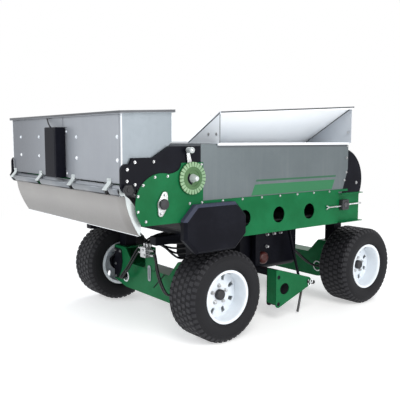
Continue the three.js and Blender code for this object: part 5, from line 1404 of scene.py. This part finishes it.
def knobPiece(name, side):
    k = knob
    form = Form()
    points = []
    for i in range(k["steps"]):
        a = 2 * math.pi * i / k["steps"]
        radius = k["radius"] - k["waist"] * (1 - math.cos(k["lobes"] * a)) / 2
        points.append((hinge["x"] + radius * math.cos(a), hinge["z"] + radius * math.sin(a)))
    form.plate(points, off(side, k["near"] + 5, k["far"] - 4), [], "Y", 3, 3)
    form.barY(hinge["x"], hinge["z"], k["collar"], off(side, k["near"], k["near"] + 8), 32, 1)
    form.barY(hinge["x"], hinge["z"], k["tip"], off(side, k["far"] - 6, k["far"]), 32, 2)
    form.piece(f"{name}_knob_grip", f"{name}_knob", "black_plastic", [f"{name}_clamp_knob"])


for name, side in sides.items():
    knobPiece(name, side)
print("pan and knobs made")


# Hopper flare and side trim

flare = {
    "outer": 800, "shelf": 1228, "rear": -120, "front": 1104, "lip": 814, "footRear": 500, "footFront": 379,
    "topRear": 1404, "topFront": 1475, "rise": 4.6, "edge": 9, "gussetRear": -118, "gussetFront": 1098,
    "bolts": ((-118, 770, 1280), (-118, 700, 1280), (1086, 780, 1300)),
}


def flareTrim(name, side):
    f = flare
    fixings = Form()
    for x, y, z in f["bolts"]:
        fixings.bolt((x, side * y, z), (-1, 0, 0), 6, 4)
    fixings.piece(f"{name}_flare_bolts", "base", "bare_metal")
    # Dark strips of painted shade: under the flare's folded top lip and along the edges of its ends
    wide = f["edge"]
    edges = Form()
    rear, front = f["topRear"] + f["rise"], f["topFront"] + f["rise"]
    strip = [
        (f["rear"], rear - wide), (f["front"], front - wide),
        (f["front"], front - 0.4), (f["rear"], rear - 0.4)]
    edges.plate(strip, off(side, f["lip"] - 0.6, f["lip"] + 0.8), [], "Y", 0.3)
    ends = (
        (f["gussetRear"], f["footRear"], f["topRear"]), (f["gussetFront"], f["footFront"], f["topFront"]))
    for x, foot, top in ends:
        edges.plate([
            (side * foot, f["shelf"] + 1), (side * (foot + wide), f["shelf"] + 1),
            (side * f["outer"], top - wide), (side * f["outer"], top)], (x - 0.9, x + 0.6), [], "X", 0.3)
    edges.box(
        (f["gussetRear"] - 0.9, f["gussetRear"] + 4), off(side, f["outer"] - 0.6, f["outer"] + 0.9),
        (f["shelf"] + 1, f["topRear"] - 12), 0.3)
    edges.piece(f"{name}_flare_shade_edges", "base", "pale_galvanised", look="edge_zinc")


for name, side in sides.items():
    flareTrim(name, side)
print("flare trim made")


# Conveyor: belt, drums, sprockets and their shafts

belt = {
    "rear": plates["drumX"], "front": 1052, "z": plates["drumZ"], "radius": 62, "thick": 8, "half": 722,
    "cleats": 22, "cleatWidth": 12, "cleatHeight": 9, "cleatTaper": 2.5,
}


def beltPiece():
    b = belt
    outer = b["radius"] + b["thick"]

    def loop(radius):
        return arc(b["rear"], b["z"], radius, 90, 270, 28) + arc(b["front"], b["z"], radius, -90, 90, 28)

    form = Form()
    form.plate(loop(outer), (-b["half"], b["half"]), [loop(b["radius"] + 0.2)], "Y", 1)
    run = b["front"] - b["rear"]
    turn = math.pi * outer
    pitch = 2 * (run + turn) / b["cleats"]
    half, top, taper = b["cleatWidth"] / 2, outer + b["cleatHeight"], b["cleatTaper"]
    section = [(-half, outer - 2), (half, outer - 2), (half - taper, top), (-half + taper, top)]
    for i in range(b["cleats"]):
        along = (i + 0.5) * pitch
        back = along - run - turn
        if along < run:
            angle, x = 0, b["rear"] + along
        elif back < 0:
            angle, x = (along - run) / outer, b["front"]
        elif back < run:
            angle, x = math.pi, b["front"] - back
        else:
            angle, x = math.pi + (back - run) / outer, b["rear"]
        c, s = math.cos(angle), math.sin(angle)
        cleat = [(x + u * c + r * s, b["z"] - u * s + r * c) for u, r in section]
        form.plate(cleat, (-b["half"], b["half"]), [], "Y", 1)
    form.piece("belt_loop", "base", "belt_rubber", ["conveyor_belt"])


beltPiece()

drums = {
    "radius": 61.7, "half": 728, "shaft": 18, "driveRight": -800, "driveLeft": 780, "idlerEnd": 808.7,
    "teeth": 15, "root": 40, "tip": 45, "chain": (-793.5, -786.5),
}


def drumPieces():
    d = drums
    form = Form()
    form.barY(belt["rear"], belt["z"], d["radius"], (-d["half"], d["half"]), 48, 2)
    form.barY(belt["rear"], belt["z"], d["shaft"], (d["driveRight"], d["driveLeft"]), 32, 1)
    teeth = []
    for i in range(d["teeth"]):
        for share, reach in ((-0.5, d["root"]), (-0.2, d["tip"]), (0.2, d["tip"])):
            a = 2 * math.pi * (i + share) / d["teeth"]
            teeth.append((belt["rear"] + reach * math.cos(a), belt["z"] + reach * math.sin(a)))
    form.plate(teeth, d["chain"], [], "Y", 0.5)
    form.piece("drive_drum_turned", "drive_drum_rotor", "dark_metal", ["drive_drum"])
    form = Form()
    form.barY(belt["front"], belt["z"], d["radius"], (-d["half"], d["half"]), 48, 2)
    form.barY(belt["front"], belt["z"], d["shaft"], (-d["idlerEnd"], d["idlerEnd"]), 32, 1)
    form.piece("idler_drum_turned", "idler_drum_rotor", "dark_metal", ["idler_drum"])


drumPieces()

takeup = {
    "x": belt["front"], "z": belt["z"], "half": 36, "face": 774.7, "flange": 36, "bore": 18.4,
    "screw": 6.2, "screwRear": 1083, "screwFront": 1240, "nutRear": 1088, "nutFront": 1098,
    "threads": 30, "threadStart": 1100, "threadPitch": 4.5, "threadRadius": 7,
    "tailZ": 782, "tail": 856, "tailRadius": 5.5, "lockNut": (958, 968), "forkDrop": 13,
}


def takeupPiece(name, side):
    t = takeup
    form = Form()
    x, z = t["x"], t["z"]
    body = off(side, t["face"] + 0.3, t["face"] + t["flange"] - 4)
    block = rounded(upright(x, t["half"], z - t["half"], z + t["half"]), 8, 4)
    form.plate(block, body, [circle(x, z, t["bore"], 28)], "Y", 2)
    face = body[0] if side < 0 else body[1]
    form.lathe((x, 0, z), [(18.6, face), (27, face)], steps=36)
    form.piece(f"{name}_takeup_block", "base", "cast_metal", [f"{name}_takeup_bearing"])
    screw = Form()
    y = side * (t["face"] + t["flange"] / 2)
    screw.barX(y, z, t["screw"], (t["screwRear"], t["screwFront"]), 20, 0.6)
    for i in range(t["threads"]):
        start = t["threadStart"] + i * t["threadPitch"]
        screw.bar((start, y, z), (start + 2.2, y, z), t["screw"], 16, 0, t["threadRadius"])
    screw.barX(y, z, 12, (t["nutRear"], t["nutFront"]), 6, 1)
    screw.barX(y, t["tailZ"], t["tailRadius"], (t["tail"] + 26, x - 32), 18, 0.6)
    screw.barX(y, t["tailZ"], 9, t["lockNut"], 6, 1)
    for share in (-1, 1):
        tip = (t["tail"], y, t["tailZ"] + share * t["forkDrop"])
        screw.bar((t["tail"] + 34, y, t["tailZ"]), tip, 4, 12, 0.6)
    screw.piece(f"{name}_takeup_screw", "base", "bare_metal")


for name, side in sides.items():
    takeupPiece(name, side)
print("conveyor made")


# Beater

beater = {
    "x": plates["beaterX"], "z": plates["beaterZ"], "core": 48, "half": 738, "shaft": 22, "shaftHalf": 792.3,
    "rows": 13, "length": 92, "thick": 9, "inner": 24, "tip": 149.5, "boltX": 66, "boltY": 26,
}


def beaterPiece():
    b = beater
    form = Form()
    form.barY(b["x"], b["z"], b["core"], (-b["half"], b["half"]), 40, 1.5)
    form.barY(b["x"], b["z"], b["shaft"], (-b["shaftHalf"], b["shaftHalf"]), 32, 1)
    half, inner, tip, face = b["length"] / 2, b["inner"], b["tip"], b["inner"] + b["thick"] / 2
    blade = Form()
    corners = rounded([(inner, -half), (tip, -half), (tip, half), (inner, half)], 7, 3)
    blade.plate(corners, (face - b["thick"], face), [], "Z", 1)
    head = Form()
    for y in (-b["boltY"], b["boltY"]):
        head.bar((b["boltX"], y, face), (b["boltX"], y, face + 6), 8, 6, 1)
    first = half - b["half"]
    pitch = -2 * first / (b["rows"] - 1)
    turns = []
    for i in range(b["rows"]):
        spot = Matrix.Translation(at(b["x"], first + i * pitch, b["z"]))
        for flip in (0, math.pi):
            turn = Matrix.Rotation(i * math.pi / 3 + flip, 4, "Y")
            turns.append(spot @ turn @ Matrix.Translation(-at(0, 0, 0)))
    form.repeat(blade, turns)
    blade.bm.free()
    bolted = Form()
    bolted.repeat(head, turns)
    head.bm.free()
    form.piece("beater_drum", "beater_rotor", "dark_metal", ["beater"])
    bolted.piece("beater_bolts", "beater_rotor", "bare_metal")


beaterPiece()
print("beater made")


# Front guard, engine and its pump

guard = {
    "x": 1137, "z": 951, "radius": 232, "face": 702, "depth": 120, "wall": 5, "flat": 1140,
    "footX": (1155, 1245), "footFace": -652, "footReach": 70, "deck": 663.3, "footTop": 738,
    "bolts": ((1303, 930), (1178, 1128), (1180, 768)),
}


def guardOutline(inset):
    radius = guard["radius"] - inset
    flat = guard["flat"] + inset
    top = math.degrees(math.acos((flat - guard["x"]) / radius))
    return arc(guard["x"], guard["z"], radius, -top, top, 56)


def frontGuard():
    g = guard
    form = Form()
    form.plate(guardOutline(0), (-g["face"], -g["face"] + g["wall"]), [], "Y", 2.4, 3)
    span = (-g["face"] + 1, -g["face"] + g["depth"])
    form.plate(guardOutline(0.2), span, [guardOutline(g["wall"])], "Y", 1)
    face, deck = g["footFace"], g["deck"]
    form.box(g["footX"], (face, face + g["wall"]), (deck, g["footTop"]), 1)
    form.box(g["footX"], (face, face + g["footReach"]), (deck, deck + g["wall"]), 1)
    form.piece("front_guard_shell", "base", "black_paint", ["front_guard"])
    fixings = Form()
    for x, z in g["bolts"]:
        fixings.bolt((x, -g["face"], z), (0, -1, 0), 8, 5)
    fixings.piece("front_guard_bolts", "base", "bare_metal")


frontGuard()

engine = {
    "rear": 1142, "front": 1362, "right": -440, "left": -60, "deck": 663.3, "foot": 22, "case": 880,
    "head": 1080, "fins": 9, "finHalf": 2.5, "crank": 793.3, "shaftEnd": -695, "shaft": 16,
    "fanZ": 871.6, "fan": 127, "grille": 84, "spokes": 12, "spokeOut": 61,
    "pump": ((58, -5, 16, 2), (46, 10, 118, 3), (53, 112, 145, 4)), "pumpBolts": 50,
}


def enginePiece():
    e = engine
    rear, front, right, left, deck = (e[key] for key in ("rear", "front", "right", "left", "deck"))
    middleX, middleY = (rear + front) / 2, (right + left) / 2
    form = Form()
    form.box((rear, front), (right, left), (deck, deck + e["foot"]), 4)
    form.box((rear + 6, front - 6), (right + 8, left - 8), (deck + 15, e["case"]), 14)
    form.box((rear + 22, front - 22), (right + 24, left - 24), (e["case"] - 8, e["head"]), 6)
    for i in range(e["fins"]):
        z = e["case"] + 12 + (e["head"] - e["case"] - 24) * i / (e["fins"] - 1)
        form.box((rear + 2, front - 2), (right + 2, left - 2), (z - e["finHalf"], z + e["finHalf"]), 1)
    fan, grille, z, out = e["fan"], e["grille"], e["fanZ"], front + e["spokeOut"]
    form.lathe((0, middleY, z), [
        (fan, front - 10), (fan, front + 52), (fan - 8, front + 63), (grille, front + 64),
        (grille, front + 58), (0, front + 58)], "X", 56)
    for i in range(e["spokes"]):
        a = math.pi * i / e["spokes"]
        c, s = grille * math.cos(a), grille * math.sin(a)
        form.bar((out, middleY - c, z - s), (out, middleY + c, z + s), 2.4, 8, 0)
    form.lathe((0, middleY, z), [(0, front + 64), (26, front + 64), (30, front + 58)], "X", 32)
    form.barY(middleX, e["crank"], e["shaft"], (e["shaftEnd"], right + 8), 28, 1)
    for radius, start, end, edge in e["pump"]:
        form.barY(middleX, e["crank"], radius, (left + start, left + end), 40, edge)
    form.box((middleX - 29, middleX + 29), (left - 5, left + 145), (deck, e["crank"] - 30), 3)
    form.piece("engine_castings", "base", "cast_metal", ["engine"])
    fixings = Form()
    for x in (rear + 14, front - 14):
        for y in (right + 16, left - 16):
            fixings.bolt((x, y, deck + e["foot"]), (0, 0, 1), 8, 6)
    for i in range(4):
        turn = math.radians(45 + 90 * i)
        x, z = middleX + e["pumpBolts"] * math.cos(turn), e["crank"] + e["pumpBolts"] * math.sin(turn)
        fixings.bolt((x, left + 16, z), (0, 1, 0), 5, 5, False)
    fixings.piece("engine_bolts", "base", "bare_metal")


enginePiece()
print("engine and guard made")


# Stand yoke and prop

yoke = {
    "outer": -652, "inner": -560, "plate": 8, "rear": 520, "top": 362, "bottom": 96, "corner": 26,
    "apexX": 846, "apexZ": 236, "apexRadius": 34, "bore": 11.6, "hangerX": 548, "hangerHalf": 22,
    "holeX": 605, "holeZ": 222, "holeHeight": 39.6, "holeStretch": 1.12, "small": 15, "smallDrop": 52,
    "stayX": 880, "stayRise": 17, "stay": 10, "railFace": 599.7, "railY": -420,
}


def tangent(start, radius0, end, radius1):
    x, z = end[0] - start[0], end[1] - start[1]
    return math.degrees(math.atan2(z, x) - math.acos((radius0 - radius1) / math.hypot(x, z)))


def yokePiece():
    y = yoke
    toe = (y["rear"] + y["corner"], y["bottom"] + y["corner"])
    apex = (y["apexX"], y["apexZ"])
    head = (y["rear"] + y["corner"], y["top"])
    under = tangent(toe, y["corner"], apex, y["apexRadius"])
    over = tangent(apex, y["apexRadius"], head, 0)
    outline = arc(*toe, y["corner"], 180, under if under > 180 else under + 360, 12)
    outline += arc(*apex, y["apexRadius"], under, over if over > under else over + 360, 18)
    outline += [head, (y["rear"], y["top"])]
    outer, inside, thick, top = y["outer"], y["inner"], y["plate"], y["top"]
    ring = circle(0, 0, y["holeHeight"], 36)
    oval = [(y["holeX"] + y["holeStretch"] * a, y["holeZ"] + b) for a, b in ring]
    spacers = [(toe[0], top - y["smallDrop"]), toe]
    holes = [oval, *[circle(*place, y["small"], 24) for place in spacers], circle(*apex, y["bore"], 20)]
    form = Form()
    form.plate(outline, (outer, outer + thick), holes, "Y", 1.4)
    inner = Form()
    inner.plate(outline, (inside - thick, inside), holes, "Y", 1.4)
    for x, z in spacers:
        inner.barY(x, z, y["small"] - 0.4, (outer + 2, inside - 1), 28, 1)
    # The inner plate and spacers are green paint drawn black: painted shade behind the outer plate
    inner.piece("yoke_inner_plate", "base", "green_paint", look="black_paint")
    form.box((y["rear"], y["rear"] + thick), (outer + 0.5, inside - 0.5), (toe[1], top - 0.5), 1.2)
    form.piece("yoke_plates", "base", "green_paint", ["stand_yoke"])
    form = Form()
    half, rail = y["hangerHalf"], y["railFace"]
    arm = (top - 2 * half - 8, top - 8)
    hanger = (y["hangerX"] - half, y["hangerX"] + half)
    under = (y["railY"] - half, y["railY"] + half)
    form.box(hanger, (inside - 8, under[1]), arm, 3)
    form.box(hanger, under, (arm[0], rail), 3)
    low = (y["apexX"], inside - 4, y["apexZ"] + y["stayRise"])
    form.bar(low, (y["stayX"], y["railY"], rail - 6), y["stay"], 20, 1)
    form.box((y["stayX"] - half, y["stayX"] + half), under, (rail - 12, rail), 2)
    form.piece("yoke_hanger", "base", "green_paint", look="black_paint")


yokePiece()

prop = {
    "footX": 792, "footZ": 12, "handleX": 962, "handleZ": 205, "rod": 9, "pin": 11, "pinReach": 11,
    "boss": 17, "bossHalf": 14, "grip": 15, "gripLength": 62, "clipGap": 7, "clip": 2.8,
    "clipBends": (
        (-4, 16), (-4, -14), (-1, -24), (8, -27), (15, -16), (9, -2), (17, 10), (28, 14), (38, 4),
        (34, -8), (22, -6), (16, -2)),
}


def propPiece():
    p = prop
    middle = (yoke["outer"] + yoke["inner"]) / 2
    pivot = Vector((yoke["apexX"], middle, yoke["apexZ"]))
    foot = Vector((p["footX"], middle, p["footZ"]))
    handle = Vector((p["handleX"], middle, p["handleZ"]))
    gripStart = handle.lerp(pivot, p["gripLength"] / (handle - pivot).length)
    form = Form()
    x, z = yoke["apexX"], yoke["apexZ"]
    form.barY(x, z, p["pin"], (yoke["outer"] - p["pinReach"], yoke["inner"] + p["pinReach"]), 24, 1.2)
    form.bar(tuple(pivot), tuple(foot), p["rod"], 24, 3)
    form.bar(tuple(pivot), tuple(handle), p["rod"], 24, 2)
    form.barY(x, z, p["boss"], (middle - p["bossHalf"], middle + p["bossHalf"]), 28, 2)
    form.piece("prop_rods", "prop", "dark_metal", ["stand_prop"])
    grip = Form()
    grip.bar(tuple(gripStart), tuple(handle), p["grip"], 28, 4)
    grip.piece("prop_grip", "prop", "black_plastic")
    clip = Form()
    y = yoke["outer"] - p["clipGap"]
    bends = [(x + a, y - (3 if a > 0 else 0), z + b) for a, b in p["clipBends"]]
    clip.tube(hoseRun(bends, 5), p["clip"], 10)
    clip.piece("prop_clip", "prop", "bare_metal", look="pale_galvanised")


propPiece()
print("stand made")


# CAD sheets and blocks whose form is right already: they keep their shape, with a softened edge

kept = {
    "rear_hood": 1.2, "right_hopper_side": 0.8, "left_hopper_side": 0.8,
    "hopper_front_wall": 0.8, "hopper_rear_wall": 0.8, "right_hopper_flare": 1.2,
    "left_hopper_flare": 1.2, "metering_gate": 0.6, "gate_shaft": 0.8, "conveyor_bed": 0.8,
    "right_rail": 3, "left_rail": 3, "rear_cross_member": 2,
    "drive_motor": 1.5, "motor_sprocket": 0.5, "drive_chain": 1, "chain_guard": 1.8,
    "right_takeup_channel": 1, "left_takeup_channel": 1, "front_deck": 1.5,
}
keptEdge = {"weld": 0.02, "segments": 2, "angle": 40}
ownLooks = {
    "right_hopper_side": "side_zinc", "left_hopper_side": "side_zinc", "chain_guard": "guard_paint",
}
slots = {part["node"]: part["material_slot"] for part in frame["record"]["subparts"]}
for name, width in kept.items():
    node = frame["nodes"][name]
    node.data.materials.clear()
    node.data.materials.append(materials[ownLooks.get(name, slots[name])])
    weld = node.modifiers.new("weld", "WELD")
    weld.merge_threshold = keptEdge["weld"] * mm
    edge = node.modifiers.new("edge", "BEVEL")
    edge.width = width * mm
    edge.segments = keptEdge["segments"]
    edge.limit_method = "ANGLE"
    edge.angle_limit = math.radians(keptEdge["angle"])
print("kept sheets finished")


# Floor, light and background

studio = {
    "floorHalf": 40, "floor": 0.8, "glow": 0.46, "nearEdge": 2.2, "farEdge": 6.0, "sky": 0.48,
    "skyColour": (0.93, 0.96, 1.0), "aim": (0, 0, 0.7),
}
lamps = {
    "key": {"place": (-2.5, -5.0, 5.5), "size": 4.0, "power": 250.0, "colour": (1.0, 0.985, 0.96)},
    "fill": {"place": (-6.0, 1.5, 3.5), "size": 4.0, "power": 200.0, "colour": (0.94, 0.97, 1.0)},
    "rim": {"place": (4.0, 3.0, 5.0), "size": 4.0, "power": 120.0, "colour": (0.97, 0.98, 1.0)},
    "low": {"place": (0.9, -5.5, 1.5), "size": 2.2, "power": 90.0, "colour": (1.0, 1.0, 1.0)},
}

floorMesh = bpy.data.meshes.new("floor")
floorBm = bmesh.new()
bmesh.ops.create_grid(floorBm, x_segments=1, y_segments=1, size=studio["floorHalf"])
floorBm.to_mesh(floorMesh)
floorBm.free()
floor = bpy.data.objects.new("floor", floorMesh)
floorGraph = Graph("floor")
floorX, floorY = floorGraph.axes(floorGraph.coordinates())[:2]
away = (floorX * floorX + floorY * floorY).maths("SQRT").fade(studio["nearEdge"], studio["farEdge"])
shade = floorGraph.mix(away, (studio["floor"],) * 3, (0.0, 0.0, 0.0))
glow = floorGraph.mix(away, (studio["glow"],) * 3, (1.0, 1.0, 1.0))
floorMesh.materials.append(floorGraph.finish(
    Base_Color=shade, Roughness=0.9, Specular_IOR_Level=0.0, Emission_Color=glow, Emission_Strength=1.0))
bpy.context.collection.objects.link(floor)


for name, lamp in lamps.items():
    data = bpy.data.lights.new(name, "AREA")
    data.shape = "DISK"
    data.size = lamp["size"]
    data.energy = lamp["power"]
    data.color = lamp["colour"]
    made = bpy.data.objects.new(name, data)
    made.location = lamp["place"]
    toward = Vector(studio["aim"]) - Vector(lamp["place"])
    made.rotation_euler = toward.to_track_quat("-Z", "Y").to_euler()
    bpy.context.collection.objects.link(made)

world = bpy.data.worlds.new("world")
bpy.context.scene.world = world
world.use_nodes = True
tree = world.node_tree
tree.nodes.clear()
path = tree.nodes.new("ShaderNodeLightPath")
plain = tree.nodes.new("ShaderNodeBackground")
sky = tree.nodes.new("ShaderNodeBackground")
mixed = tree.nodes.new("ShaderNodeMixShader")
out = tree.nodes.new("ShaderNodeOutputWorld")
plain.inputs["Color"].default_value = (1, 1, 1, 1)
plain.inputs["Strength"].default_value = 1
sky.inputs["Color"].default_value = (*studio["skyColour"], 1)
sky.inputs["Strength"].default_value = studio["sky"]
seen = tree.nodes.new("ShaderNodeMath")
seen.operation = "MAXIMUM"
tree.links.new(path.outputs["Is Camera Ray"], seen.inputs[0])
tree.links.new(path.outputs["Is Glossy Ray"], seen.inputs[1])
tree.links.new(seen.outputs[0], mixed.inputs[0])
tree.links.new(sky.outputs[0], mixed.inputs[1])
tree.links.new(plain.outputs[0], mixed.inputs[2])
tree.links.new(mixed.outputs[0], out.inputs["Surface"])
bpy.context.scene.view_settings.view_transform = "Standard"
print("studio made")
